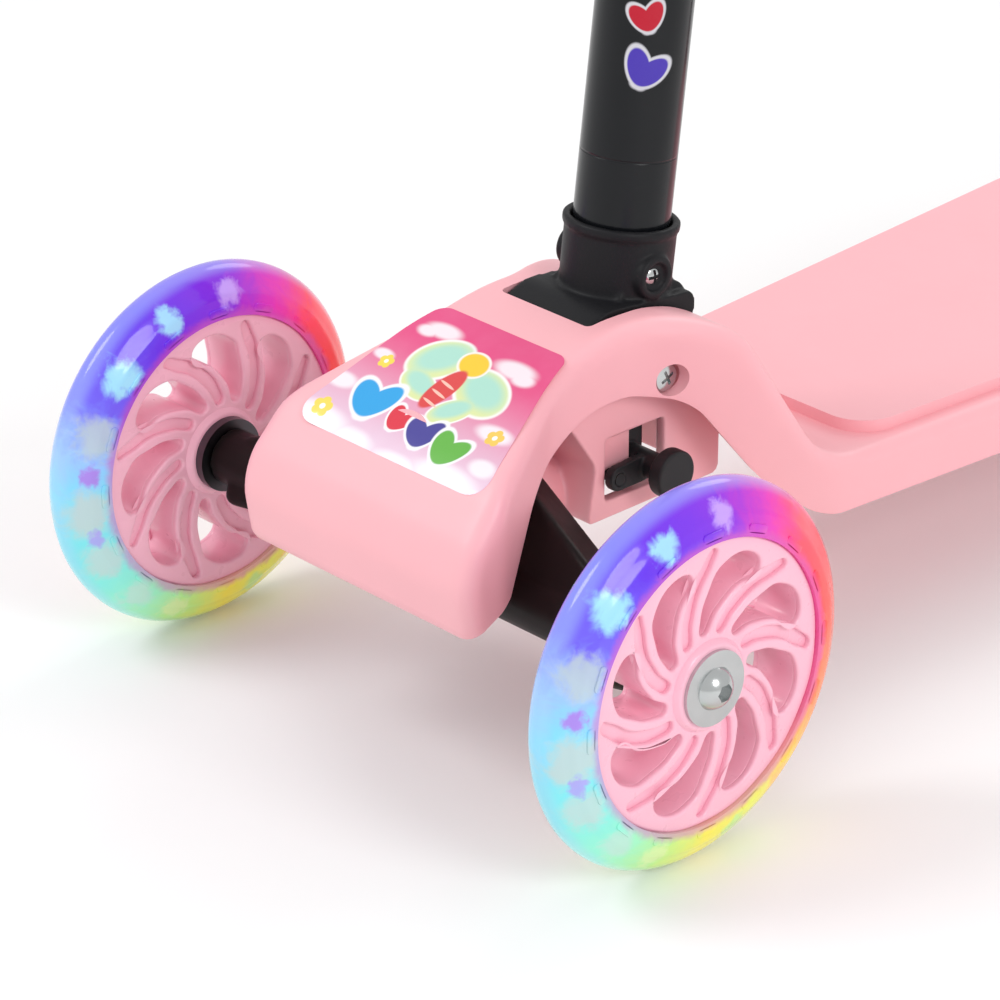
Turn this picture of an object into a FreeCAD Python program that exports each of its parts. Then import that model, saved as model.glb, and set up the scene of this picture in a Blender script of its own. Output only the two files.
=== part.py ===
"""Child's folding kick scooter: two lean-steered front wheels, one rear wheel, T-bar.

Millimetres, +Z up, front towards -Y, rider's left towards +X.  Everything is
drawn from the front axle line (Y = 0 there, Z = 0 on the ground) and moved at
the end so that the origin lies under the middle of the scooter's bounding box.
"""
import FreeCAD, Part
import math
import os

V = FreeCAD.Vector
X_AXIS, Y_AXIS, Z_AXIS = V(1, 0, 0), V(0, 1, 0), V(0, 0, 1)

# ---- wheels ---------------------------------------------------------------
FRONT_R = 60.0            # front tyre outer radius
REAR_R = 40.0             # rear tyre outer radius
FRONT_HUB_R = 45.0        # hubs, at the tyre's seat
REAR_HUB_R = 30.0
TRACK = 214.0             # between the front wheels' centre planes
WHEELBASE = 445.0
AXLE_R = 4.0              # M8 axle bolts
RUNNING = 0.05            # radial clearance of every running fit
HUB_HALF = 9.3            # half width of a hub's rim ring
BARREL_HALF = 11.0        # half width of a hub's bearing barrel
SWIRL = 1.5               # degrees of sweep for each millimetre of spoke
BEARING_R = 11.0
BEARING_W = 7.0

# ---- lean steering --------------------------------------------------------
KINGPIN_TILT = 30.0       # kingpin rises towards the front by this many degrees
KINGPIN_UP = 26.0         # kingpin above the axle, along the truck's own face
TRUCK_BACK = 10.0         # truck thickness behind its mid plane
TRUCK_FRONT = 6.0         # and in front of it
KINGPIN_R = 4.0

# ---- hood and deck --------------------------------------------------------
WALL = 4.0                # hood and deck skin
DECK_TOP = 68.0
DECK_BOTTOM = 50.0
DECK_END = 408.0
RIDGE_R = 2.0             # rounding along the hood's and deck's upper edge
BORDER = 8.0              # plain border around the tread panel
TREAD_DEPTH = 0.8
STICKER_THICK = 0.3
RIB = 2.5
RIB_FOOT = 60.0
SLOT_HALF = 19.2          # half width of the slot that the stem folds into
SLOT_FRONT = 46.5
SLOT_FLOOR = 81.0

# side view of hood and deck: straight runs joined by arcs (Y, Z, arc radius)
HOOD_TOP = [(-30.5, 57.5, 2), (-34.6, 82, 22), (-16, 103, 30), (34, 127, 90), (75, 125.5, 50),
            (94, 116, 20), (117, 73.5, 15), (127, DECK_TOP, 22)]
ARCH = [(118, DECK_BOTTOM, 20), (99, 65, 60), (75, 98, 22), (45, 107, 35), (8, 93, 30), (-12, 66.5, 1.5)]
# plan view of the left side (half width, Y, arc radius)
FRONT_Y = -34.0
PLAN = [(51.5, FRONT_Y, 9), (49.8, -17, 12), (30, 24, 45), (29.4, 60, 30), (53, 122, 30),
        (69, 332, 150), (68, 370, 45), (44, DECK_END, 24)]

# ---- fold joint -----------------------------------------------------------
FOLD_Y, FOLD_Z = 69.0, 106.0
FOLD_PIN_R = 4.0
TONGUE_R = 15.5
CHEEK = 4.0               # thickness of the fold housing's cheeks
LATCH_Y, LATCH_Z = 53.5, 75.7
LATCH_PIN_R = 2.0
KNOB_Y, KNOB_Z = 66.3, 76.7
KNOB_R = 7.8
LATCH_ARM = 3.4           # the latch's arm reaches this far out from the cheek
NOSE_GAP = 0.5            # nose of the latch below the tongue's rim

# ---- stem and handlebar ---------------------------------------------------
STEM_LEAN = 7.25          # degrees, backwards from vertical
STEM_Y, STEM_Z = 79.3, 147.0     # stem axis at the socket's rim
SOCKET_R = 17.5
LOWER_R, LOWER_BORE = 15.0, 13.6
UPPER_R, UPPER_BORE = 12.5, 11.3
LOWER_LENGTH = 262.0      # lower tube above the socket's rim
UPPER_INSIDE = 170.0      # upper tube held inside the lower one
GRIP_HEIGHT = 520.0       # handlebar above the socket's rim, along the stem
BAR_HALF = 134.0
BAR_R = 11.0
GRIP_R = 15.0
GRIP_LENGTH = 92.0
COLLAR_HEIGHT = 34.0

# ---- rear fork and brake --------------------------------------------------
FORK_IN, FORK_OUT = 15.0, 29.0
BRAKE_Y, BRAKE_Z = 396.0, 77.0
FENDER_IN, FENDER_OUT = 45.5, 48.5
FENDER_HALF = 21.0
BRAKE_PIN_R = 2.5

REAR_END = WHEELBASE + FENDER_OUT
ORIGIN_Y = (REAR_END - FRONT_R) / 2


def box(x0, x1, y0, y1, z0, z1):
    return Part.makeBox(x1 - x0, y1 - y0, z1 - z0, V(x0, y0, z0))


def cylinder(radius, length, start, axis):
    return Part.makeCylinder(radius, length, start, axis)


def ring(outer, inner, length, start, axis):
    return cylinder(outer, length, start, axis).cut(cylinder(inner, length, start, axis))


def fuse(shapes):
    joined = shapes[0]
    for shape in shapes[1:]:
        joined = joined.fuse(shape)
    return joined.removeSplitter()


def cut(shape, tools):
    for tool in tools:
        shape = shape.cut(tool)
    return shape


def mirrored(shape):
    return shape.mirror(V(0, 0, 0), X_AXIS)


def both_sides(shape):
    return Part.makeCompound([shape, mirrored(shape)])


def yz(point):
    return V(0, point[0], point[1])


def xy(point):
    return V(point[0], point[1], 0)


def line(a, b):
    return Part.LineSegment(a, b).toShape()


def spline(points):
    curve = Part.BSplineCurve()
    curve.interpolate(points)
    return curve.toShape()


def rounded(corners, place):
    """Closed face with straight sides; each corner is (a, b, radius)."""
    edges, joints = [], []
    count = len(corners)
    for i, (a, b, radius) in enumerate(corners):
        here = place((a, b))
        back = place(corners[i - 1][:2]) - here
        ahead = place(corners[(i + 1) % count][:2]) - here
        back.normalize()
        ahead.normalize()
        if radius == 0:
            joints.append((here, here))
            continue
        half = back.getAngle(ahead) / 2
        reach = radius / math.tan(half)
        middle = back + ahead
        middle.normalize()
        start, end = here + back * reach, here + ahead * reach
        crest = here + middle * (radius / math.sin(half) - radius)
        edges.append(Part.Arc(start, crest, end).toShape())
        joints.append((start, end))
    for i in range(count):
        start, end = joints[i - 1][1], joints[i][0]
        if (end - start).Length > 1e-6:
            edges.append(line(start, end))
    return Part.Face(Part.Wire(Part.__sortEdges__(edges)))


def slab_x(face, x0, x1):
    """A YZ face swept from X = x0 to X = x1."""
    moved = face.copy()
    moved.translate(V(x0, 0, 0))
    return moved.extrude(V(x1 - x0, 0, 0))


def turned(profile, centre=V(0, 0, 0)):
    """Closed (X, radius) outline turned about the X direction through centre."""
    points = [V(x, 0, r) for x, r in profile]
    face = Part.Face(Part.makePolygon(points + points[:1]))
    solid = face.revolve(V(0, 0, 0), X_AXIS, 360)
    solid.translate(centre)
    return solid


def save(name, *solids):
    shape = solids[0] if len(solids) == 1 else Part.makeCompound(list(solids))
    placed = shape.copy()
    placed.translate(V(0, -ORIGIN_Y, 0))
    placed.exportStep("parts/" + name + ".step")


# ---- wheels ---------------------------------------------------------------
def swirl_pocket(reach, inner, outer, hand):
    """Teardrop through-pocket between two swirling spokes, drawn in YZ."""
    middle = (inner + outer) / 2
    sweep = hand * SWIRL * (outer - inner)
    width = 0.6 * (outer - inner)
    arc = [(inner, 0.0), (middle, sweep * 0.55), (outer, sweep)]
    left, right = [], []
    for radius, degrees in arc:
        half = math.degrees(width * (0.35 + 0.65 * (radius - inner) / (outer - inner)) / 2 / radius)
        left.append(yz(polar(radius, degrees + half)))
        right.append(yz(polar(radius, degrees - half)))
    edges = [spline(left), line(left[-1], right[-1]), spline(right[::-1]), line(right[0], left[0])]
    pocket = slab_x(Part.Face(Part.Wire(edges)), -reach, reach)
    corners = [e for e in pocket.Edges if abs(e.tangentAt(e.FirstParameter).x) > 0.99]
    return pocket.makeFillet(width * 0.16, corners)


def polar(radius, degrees):
    return radius * math.cos(math.radians(degrees)), radius * math.sin(math.radians(degrees))


def wheel(name, tyre_r, hub_r, centre, hub_half, hand):
    """Clear tyre on a swirl-spoked hub with two bearings and four light modules."""
    barrel_r = BEARING_R + 2.5
    web = hub_half - 3.6
    hub = turned([(-BARREL_HALF, BEARING_R), (-BARREL_HALF, barrel_r), (-web, barrel_r + 1.5),
                  (-web, hub_r - 5), (-hub_half, hub_r - 4), (-hub_half, hub_r),
                  (hub_half, hub_r), (hub_half, hub_r - 4), (web, hub_r - 5),
                  (web, barrel_r + 1.5), (BARREL_HALF, barrel_r), (BARREL_HALF, BEARING_R)])
    core = ring(BEARING_R + 0.5, BEARING_R - 3, 2 * (BARREL_HALF - BEARING_W),
                V(-(BARREL_HALF - BEARING_W), 0, 0), X_AXIS)
    hub = hub.fuse(core)
    pocket = swirl_pocket(hub_half, barrel_r + 4, hub_r - 5.5, hand)
    for step in range(8):
        turned_pocket = pocket.copy()
        turned_pocket.rotate(V(0, 0, 0), X_AXIS, 45 * step + 12)
        hub = hub.cut(turned_pocket)
    hub = hub.removeSplitter()

    shoulder = tyre_r - (tyre_r - hub_r) * 0.5
    tyre = turned([(-hub_half - 1, hub_r), (-hub_half - 1, hub_r + 2), (-8.2, shoulder), (-5, tyre_r - 2.6),
                   (-2, tyre_r), (2, tyre_r), (5, tyre_r - 2.6), (8.2, shoulder),
                   (hub_half + 1, hub_r + 2), (hub_half + 1, hub_r)])
    light_depth = (tyre_r - hub_r) * 0.35
    lights = []
    for step in range(4):
        module = box(-4.5, 4.5, -5, 5, hub_r - 0.6, hub_r + light_depth)
        module.rotate(V(0, 0, 0), X_AXIS, 90 * step + 25)
        lights.append(module)
    tyre = cut(tyre, lights)
    hub = cut(hub, lights)
    bearing = ring(BEARING_R, AXLE_R + RUNNING, BEARING_W, V(BARREL_HALF - BEARING_W, 0, 0), X_AXIS)
    for part_name, solids in ((name + "_hub", [hub]), (name + "_tyre", [tyre]),
                              (name + "_lights", lights), (name + "_bearings", [bearing, mirrored(bearing)])):
        for solid in solids:
            solid.translate(centre)
        save(part_name, *solids)


def make_wheels():
    wheel("left", FRONT_R, FRONT_HUB_R, V(TRACK / 2, 0, FRONT_R), HUB_HALF, -1)
    wheel("right", FRONT_R, FRONT_HUB_R, V(-TRACK / 2, 0, FRONT_R), HUB_HALF, 1)
    wheel("rear", REAR_R, REAR_HUB_R, V(0, WHEELBASE, REAR_R), HUB_HALF, -1)


# ---- truck ----------------------------------------------------------------
TILT = math.radians(KINGPIN_TILT)
KINGPIN = V(0, -math.cos(TILT), math.sin(TILT))      # unit vector, forwards and up
FACE_UP = V(0, math.sin(TILT), math.cos(TILT))       # up along the truck's face
AXLE = V(0, 0, FRONT_R)
PIVOT = AXLE + FACE_UP * KINGPIN_UP


def on_truck(point):
    """A point of the truck's mid plane from (X, height along the face)."""
    return AXLE + X_AXIS * point[0] + FACE_UP * point[1]


def make_truck():
    inner_end = TRACK / 2 - BARREL_HALF - 3.0        # the axle bosses stop short of the hubs
    arm_end = inner_end - 8
    face = rounded([(-arm_end, 8, 3), (-54, 21, 30), (-20, 35, 20), (20, 35, 20), (54, 21, 30),
                    (arm_end, 8, 3), (arm_end, -14, 4), (70, -12, 12), (44, 1, 30), (16, 13, 20),
                    (-16, 13, 20), (-44, 1, 30), (-70, -12, 12), (-arm_end, -14, 4)], on_truck)
    face.translate(KINGPIN * -TRUCK_BACK)
    arm = face.extrude(KINGPIN * (TRUCK_BACK + TRUCK_FRONT))
    rims = [e for e in arm.Edges if abs(e.tangentAt(e.FirstParameter).dot(KINGPIN)) < 0.2]
    arm = arm.makeFillet(2.0, rims)
    hub = cylinder(13, TRUCK_BACK + TRUCK_FRONT + 4, PIVOT - KINGPIN * (TRUCK_BACK + 2), KINGPIN)
    bosses = cylinder(9, 2 * inner_end, AXLE - X_AXIS * inner_end, X_AXIS)
    keep_out = cylinder(30, 2 * 30, AXLE - X_AXIS * 30, X_AXIS)
    bosses = bosses.cut(keep_out)
    truck = fuse([arm, hub, bosses])
    bush_r = KINGPIN_R + RUNNING + 2.5
    truck = truck.cut(cylinder(bush_r, 60, PIVOT - KINGPIN * 30, KINGPIN))
    bolt_depth = 46.0
    for side in (1, -1):
        start = AXLE + X_AXIS * side * (inner_end - bolt_depth)
        truck = truck.cut(cylinder(AXLE_R, bolt_depth, start, X_AXIS * side))
    save("front_truck", truck)
    save("kingpin_bush", ring(bush_r, KINGPIN_R + RUNNING, TRUCK_BACK + TRUCK_FRONT + 4,
                              PIVOT - KINGPIN * (TRUCK_BACK + 2), KINGPIN))

    outer = TRACK / 2 + BARREL_HALF
    head_start = outer + 1.2
    shank = cylinder(AXLE_R, head_start - (inner_end - bolt_depth), AXLE + X_AXIS * (inner_end - bolt_depth), X_AXIS)
    head = button_head(6.6, 4.4, 5.0, AXLE + X_AXIS * head_start, X_AXIS)
    save("axle_bolts", both_sides(shank.fuse(head)))
    save("axle_washers", both_sides(ring(11.7, AXLE_R, 1.2, AXLE + X_AXIS * outer, X_AXIS)))
    magnet = ring(12, AXLE_R, 3.0, AXLE + X_AXIS * inner_end, X_AXIS)
    save("axle_rings", both_sides(magnet))


def button_head(radius, height, socket_width, start, axis):
    """Domed screw head with a hexagon socket, seated at start."""
    dome_r = (radius ** 2 + height ** 2) / (2 * height)
    dome = Part.makeSphere(dome_r, start - axis * (dome_r - height))
    head = cylinder(radius, height, start, axis).common(dome)
    corner = socket_width / math.sqrt(3)
    side = axis.cross(Z_AXIS)
    if side.Length < 0.1:
        side = axis.cross(X_AXIS)
    side.normalize()
    up = axis.cross(side)
    points = []
    for step in range(7):
        angle = math.radians(60 * step)
        points.append(start + axis * height + side * corner * math.cos(angle) + up * corner * math.sin(angle))
    socket = Part.Face(Part.makePolygon(points)).extrude(axis * -height * 0.6)
    return head.cut(socket)


# ---- hood and deck --------------------------------------------------------
def shrunk(face, distance):
    return Part.Face(face.OuterWire.makeOffset2D(-distance)) if distance else face


def arched_solid():
    """Side view of hood and deck, open below at the arch, swept across."""
    end = DECK_END + 30
    face = rounded(HOOD_TOP + [(end, DECK_TOP, 0), (end, DECK_BOTTOM, 0)] + ARCH, yz)
    return slab_x(face, -90, 90)


def top_solid(distance):
    """Everything below the top of hood and deck, inset by the given distance."""
    end, bottom = DECK_END + 30, -50
    face = rounded(HOOD_TOP + [(end, DECK_TOP, 0), (end, bottom, 0), (HOOD_TOP[0][0], bottom, 0)], yz)
    return slab_x(shrunk(face, distance), -90, 90)


def plan_solid(distance, z0, z1):
    """Plan outline of hood and deck, inset by the given distance, as a prism."""
    left = [(-half, y, radius) for half, y, radius in reversed(PLAN)]
    face = shrunk(rounded(PLAN + left, xy), distance)
    face.translate(V(0, 0, z0))
    return face.extrude(V(0, 0, z1 - z0))


def upper_edges(blank):
    """The edges where the sides of hood and deck meet their top."""
    chosen = []
    for edge in blank.Edges:
        parameter = (edge.FirstParameter + edge.LastParameter) / 2
        middle = edge.valueAt(parameter)
        upright = abs(edge.tangentAt(parameter).z) > 0.995
        above = V(middle.x * 0.97, middle.y, middle.z + 3)
        if abs(middle.x) > 5 and middle.z > 60 and not upright and not blank.isInside(above, 0.01, False):
            chosen.append(edge)
    return chosen


def make_deck():
    blank = arched_solid().common(plan_solid(0, 0, 200))
    blank = blank.makeFillet(RIDGE_R, upper_edges(blank))
    core = top_solid(WALL).common(plan_solid(WALL, 0, 200))
    shell = blank.cut(core)
    ribs = [box(x - RIB / 2, x + RIB / 2, 112, DECK_END, RIB_FOOT, DECK_TOP) for x in (-36, -18, 0, 18, 36)]
    ribs += [box(-70, 70, y, y + RIB, RIB_FOOT, DECK_TOP) for y in range(112, 400, 36)]
    shell = fuse([shell] + [rib.common(blank) for rib in ribs])
    panel = plan_solid(BORDER, DECK_TOP - TREAD_DEPTH, DECK_TOP + 2)
    panel = panel.common(box(-80, 80, 140, 386, 0, 200))
    shell = shell.cut(panel)

    leg = slab_x(rounded([(384, 66, 0), (384, 50, 0), (426, 30, 14), (459, 27, 12), (459, 53, 12),
                          (440, 56, 20), (418, 66, 8)], yz), FORK_IN, FORK_OUT)
    shell = fuse([shell, leg, mirrored(leg)])
    wheel_space = box(-FORK_IN, FORK_IN, WHEELBASE - REAR_R - 4, 600, 0, 200)
    ear = slab_x(rounded([(BRAKE_Y - 8, 62, 0), (BRAKE_Y + 8, 62, 0), (BRAKE_Y + 6, BRAKE_Z + 6, 6),
                          (BRAKE_Y - 6, BRAKE_Z + 6, 6)], yz), 24, 29)
    shell = fuse([shell, ear, mirrored(ear)])
    slot = box(-SLOT_HALF, SLOT_HALF, SLOT_FRONT, 125, SLOT_FLOOR, 200)
    holes = [wheel_space, slot,
             cylinder(5.5, 120, V(-60, FOLD_Y, FOLD_Z), X_AXIS),
             cylinder(AXLE_R, 120, V(-60, WHEELBASE, REAR_R), X_AXIS),
             cylinder(BRAKE_PIN_R, 120, V(-60, BRAKE_Y, BRAKE_Z), X_AXIS)]
    shell = cut(shell, holes)

    lug_start = PIVOT + KINGPIN * (TRUCK_FRONT + 2.5)
    lug = cylinder(13, 40, lug_start, KINGPIN).common(core)
    shell = fuse([shell, lug])
    shell = shell.cut(cylinder(KINGPIN_R, 20, PIVOT, KINGPIN))
    shell = shell.cut(cylinder(8.5, 60, lug_start + KINGPIN * 7, KINGPIN).common(core))
    return shell, core


def make_sticker():
    """Printed label lying on the hood in front of the stem."""
    grown = top_solid(-STICKER_THICK).cut(top_solid(0))
    half = [(40, -23.7, 6), (23.6, 28.3, 5)]
    outline = rounded(half + [(-x, y, radius) for x, y, radius in reversed(half)], xy)
    outline.translate(V(0, 0, 60))
    save("hood_sticker", grown.common(outline.extrude(V(0, 0, 100))))


def make_fold_housing(core):
    """Cheeks that carry the fold pivot and the latch, and the rear kingpin lug."""
    outer = SLOT_HALF + CHEEK
    profile = rounded([(43, 62, 2), (46.5, 80.8, 6), (34, 99, 0), (34, 140, 0), (100, 140, 0), (100, 62, 3)], yz)
    block = slab_x(profile, -outer, outer).common(core)
    front_wall = SLOT_FRONT + 3
    block = cut(block, [box(-SLOT_HALF, SLOT_HALF, front_wall, 97, 0, 200),
                        box(-SLOT_HALF, SLOT_HALF, SLOT_FRONT, 140, SLOT_FLOOR, 200)])
    window = slab_x(rounded([(50.6, 68, 1), (75.6, 68, 1), (75.6, 88.6, 1), (50.6, 88.6, 1)], yz), 0, 40)
    rear_lug = cylinder(13, 40, PIVOT - KINGPIN * (TRUCK_BACK + 2.5), KINGPIN * -1)
    rear_lug = rear_lug.cut(box(-40, 40, SLOT_FRONT + 1, 200, 0, 200))
    rear_lug = rear_lug.cut(box(-40, 40, 0, 200, 0, 62))
    block = fuse([block, rear_lug])
    nut_space = cylinder(8.5, 60, PIVOT - KINGPIN * (TRUCK_BACK + 2.5 + 8), KINGPIN * -1)
    block = cut(block, [window, mirrored(window), nut_space,
                        cylinder(KINGPIN_R, 60, PIVOT, KINGPIN * -1),
                        cylinder(FOLD_PIN_R, 80, V(-40, FOLD_Y, FOLD_Z), X_AXIS)])
    return block


# ---- stem -----------------------------------------------------------------
LEAN = math.radians(STEM_LEAN)
STEM = V(0, math.sin(LEAN), math.cos(LEAN))          # up along the stem
STEM_BACK = V(0, math.cos(LEAN), -math.sin(LEAN))
RIM = V(0, STEM_Y, STEM_Z)


def on_stem(height):
    """Point of the stem's axis, measured along it from the socket's rim."""
    return RIM + STEM * height


def make_stem_socket():
    tube_seat = -30.0
    barrel = cylinder(SOCKET_R, 36, on_stem(-36), STEM)
    barrel = barrel.makeFillet(1.2, [e for e in barrel.Edges if e.BoundBox.ZMin > 140])
    foot = slab_x(rounded([(47.5, 119, 1), (47.5, 126.4, 1.2), (56.5, 128.5, 8), (60.5, 137, 3),
                           (92, 131, 3), (95, 119, 6), (84, 108, 6), (58, 112, 6)], yz), -17.9, 17.9)
    tongue = cylinder(TONGUE_R, 35.8, V(-17.9, FOLD_Y, FOLD_Z), X_AXIS)
    detent = box(-30, 30, FOLD_Y - 4, FOLD_Y + 4, 80, FOLD_Z - TONGUE_R + 1.5)
    pads = [cylinder(7, SLOT_HALF - 0.5, V(0, 76, 133), X_AXIS * side) for side in (1, -1)]
    socket = fuse([barrel, foot, tongue.cut(detent)] + pads)
    screw_line = V(-40, 76, 133)
    return cut(socket, [cylinder(LOWER_R, 80, on_stem(tube_seat), STEM),
                        cylinder(FOLD_PIN_R + RUNNING, 80, V(-40, FOLD_Y, FOLD_Z), X_AXIS),
                        cylinder(2.0, 80, screw_line, X_AXIS),
                        cylinder(4.2, 30, V(SLOT_HALF - 3.5, 76, 133), X_AXIS),
                        cylinder(4.2, 30, V(-SLOT_HALF + 3.5, 76, 133), X_AXIS * -1)])


def cross_head(radius, height, start, axis):
    """Low domed screw head with a cross recess."""
    dome_r = (radius ** 2 + height ** 2) / (2 * height)
    head = cylinder(radius, height, start, axis)
    head = head.common(Part.makeSphere(dome_r, start - axis * (dome_r - height)))
    reach, half = radius * 0.55, radius * 0.13
    top = abs(start.x) + height + 1
    low = abs(start.x) + height * 0.4
    x0, x1 = (low, top) if axis.x > 0 else (-top, -low)
    y, z = start.y, start.z
    return cut(head, [box(x0, x1, y - reach, y + reach, z - half, z + half),
                      box(x0, x1, y - half, y + half, z - reach, z + reach)])


def make_stem():
    save("stem_socket", make_stem_socket())
    tube_start = -30.0
    tube = ring(LOWER_R, LOWER_BORE, LOWER_LENGTH - tube_start, on_stem(tube_start), STEM)
    screw_line = V(-40, 76, 133)
    tube = tube.cut(cylinder(2.0, 80, screw_line, X_AXIS))
    save("lower_tube", tube)
    seat = V(SLOT_HALF - 3.5, 76, 133)
    screw = cylinder(2.0, 6.0, seat, X_AXIS * -1).fuse(cross_head(4.0, 2.2, seat, X_AXIS))
    save("socket_screws", both_sides(screw))

    collar_base = on_stem(LOWER_LENGTH - 22)
    collar = cylinder(LOWER_R + 4, COLLAR_HEIGHT, collar_base, STEM)
    lug_back = LOWER_R + 16
    lugs = cylinder(8, 24, collar_base + STEM * 17 + STEM_BACK * (lug_back - 8) - X_AXIS * 12, X_AXIS)
    bridge = box(-12, 12, 0, lug_back - 8, 9, 25)
    bridge.rotate(V(0, 0, 0), X_AXIS, -STEM_LEAN)
    bridge.translate(collar_base)
    collar = fuse([collar, bridge, lugs])
    gap = box(-1.25, 1.25, 0, 60, -5, 60)
    gap.rotate(V(0, 0, 0), X_AXIS, -STEM_LEAN)
    gap.translate(collar_base)
    bolt_at = collar_base + STEM * 17 + STEM_BACK * (lug_back - 8)
    collar = cut(collar, [gap, cylinder(LOWER_R, 22, collar_base, STEM),
                          cylinder(UPPER_R + 0.9, 60, collar_base, STEM),
                          cylinder(2.5, 60, bolt_at - X_AXIS * 30, X_AXIS)])
    save("clamp_collar", collar)
    bush = ring(LOWER_BORE, UPPER_R + RUNNING, 30, on_stem(LOWER_LENGTH - 30), STEM)
    save("slide_bush", bush)
    bolt = cylinder(2.5, 31, bolt_at - X_AXIS * 12, X_AXIS)
    bolt = bolt.fuse(cylinder(4.5, 3.5, bolt_at - X_AXIS * 12, X_AXIS * -1))
    save("clamp_bolt", bolt)
    save("clamp_nut", ring(4.5, 2.5, 3, bolt_at + X_AXIS * 20.5 - X_AXIS * 1.5, X_AXIS))

    cam = ring(7.5, 2.5 + RUNNING, 6.5, bolt_at + X_AXIS * 12.3, X_AXIS)
    arm = box(12.3, 18.8, -4, 44, -4.5, 4.5)
    arm = arm.makeFillet(2.0, [e for e in arm.Edges if abs(e.tangentAt(e.FirstParameter).y) > 0.9])
    arm.rotate(V(0, 0, 0), X_AXIS, 90 - STEM_LEAN - 180)
    arm.translate(V(0, bolt_at.y, bolt_at.z))
    arm = arm.cut(cylinder(2.5 + RUNNING, 60, bolt_at - X_AXIS * 10, X_AXIS))
    save("clamp_lever", cam.fuse(arm).removeSplitter())


def make_handlebar():
    low = LOWER_LENGTH - UPPER_INSIDE
    tee_low = GRIP_HEIGHT - 42
    save("upper_tube", ring(UPPER_R, UPPER_BORE, tee_low + 30 - low, on_stem(low), STEM))
    grip_line = on_stem(GRIP_HEIGHT)
    sleeve = cylinder(UPPER_R + 3.5, 60, on_stem(tee_low), STEM)
    cross = cylinder(BAR_R + 4, 84, grip_line - X_AXIS * 42, X_AXIS)
    tee = fuse([sleeve.common(cylinder(UPPER_R + 3.5, 42, on_stem(tee_low), STEM)), cross])
    tee = cut(tee, [cylinder(UPPER_R, 30, on_stem(tee_low), STEM),
                    cylinder(BAR_R, 100, grip_line - X_AXIS * 50, X_AXIS)])
    save("tee_fitting", tee)
    save("cross_bar", ring(BAR_R, BAR_R - 1.2, 2 * BAR_HALF, grip_line - X_AXIS * BAR_HALF, X_AXIS))
    inner = BAR_HALF - GRIP_LENGTH
    for name, side in (("left_grip", 1), ("right_grip", -1)):
        axis = X_AXIS * side
        start = grip_line + axis * inner
        body = cylinder(GRIP_R, GRIP_LENGTH, start, axis)
        flange = cylinder(GRIP_R + 5, 5, start, axis)
        end = cylinder(GRIP_R + 1.5, 6, start + axis * GRIP_LENGTH, axis)
        grip = fuse([body, flange, end])
        save(name, grip.cut(cylinder(BAR_R, GRIP_LENGTH, start, axis)))


# ---- latch, pins and brake ------------------------------------------------
def make_latch():
    outer = SLOT_HALF + CHEEK
    nose_top = FOLD_Z - TONGUE_R - NOSE_GAP
    arm = slab_x(rounded([(LATCH_Y - 4, LATCH_Z - 4, 3.9), (KNOB_Y + 3, KNOB_Z - 4.6, 3),
                          (KNOB_Y + 3, KNOB_Z + 4, 3), (LATCH_Y - 4, LATCH_Z + 4, 3.9)], yz),
                 outer + 0.4, outer + LATCH_ARM)
    bar_start = -SLOT_HALF + 0.6
    bar = cylinder(4.2, outer + 13 - bar_start, V(bar_start, KNOB_Y, KNOB_Z), X_AXIS)
    nose = slab_x(rounded([(FOLD_Y - 3.6, KNOB_Z - 3, 1), (FOLD_Y + 3.6, KNOB_Z - 3, 1),
                           (FOLD_Y + 3.6, nose_top, 1.5), (FOLD_Y - 3.6, nose_top, 1.5)], yz), -17, 17)
    lever = fuse([arm, bar, nose])
    knob_start = outer + 9.8
    lever = lever.cut(cylinder(LATCH_PIN_R + RUNNING, 60, V(0, LATCH_Y, LATCH_Z), X_AXIS))
    knob = cylinder(KNOB_R, 5.0, V(knob_start, KNOB_Y, KNOB_Z), X_AXIS)
    knob = knob.makeFillet(0.8, [e for e in knob.Edges if e.BoundBox.XLength < 0.1])
    knob = knob.cut(bar)
    save("latch_lever", lever)
    save("latch_knob", knob)


def make_pins():
    pin_half = SLOT_HALF + CHEEK
    save("fold_pin", cylinder(FOLD_PIN_R, 2 * pin_half, V(-pin_half, FOLD_Y, FOLD_Z), X_AXIS))
    seat = V(pin_half, FOLD_Y, FOLD_Z)
    save("fold_screws", both_sides(cross_head(4.6, 3.2, seat, X_AXIS)))
    latch_pin_start = V(SLOT_HALF - 3, LATCH_Y, LATCH_Z)
    save("latch_pin", cylinder(LATCH_PIN_R, CHEEK + 3 + LATCH_ARM, latch_pin_start, X_AXIS))

    head_at = PIVOT + KINGPIN * (TRUCK_FRONT + 9.5)
    nut_at = PIVOT - KINGPIN * (TRUCK_BACK + 10.5)
    bolt = cylinder(KINGPIN_R, (head_at - nut_at).Length + 6, nut_at - KINGPIN * 6, KINGPIN)
    save("kingpin_bolt", bolt.fuse(hexagon(6.5, 5.0, head_at, KINGPIN)))
    save("kingpin_nut", hexagon(6.5, 5.0, nut_at - KINGPIN * 5, KINGPIN).cut(
        cylinder(KINGPIN_R, 60, nut_at - KINGPIN * 30, KINGPIN)))
    front = PIVOT + KINGPIN * (TRUCK_FRONT + 2.1)
    back = PIVOT - KINGPIN * (TRUCK_BACK + 2.5)
    save("centring_pads", ring(11, KINGPIN_R, 0.4, front, KINGPIN), ring(11, KINGPIN_R, 0.4, back, KINGPIN))


def hexagon(half_flats, height, start, axis):
    """Hexagonal prism standing on start along axis."""
    side = axis.cross(V(0, 0, 1)).normalize()
    up = axis.cross(side)
    corner = half_flats / math.cos(math.radians(30))
    points = []
    for step in range(7):
        along_side, along_up = polar(corner, 60 * step)
        points.append(start + side * along_side + up * along_up)
    return Part.Face(Part.makePolygon(points)).extrude(axis * height)


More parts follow.
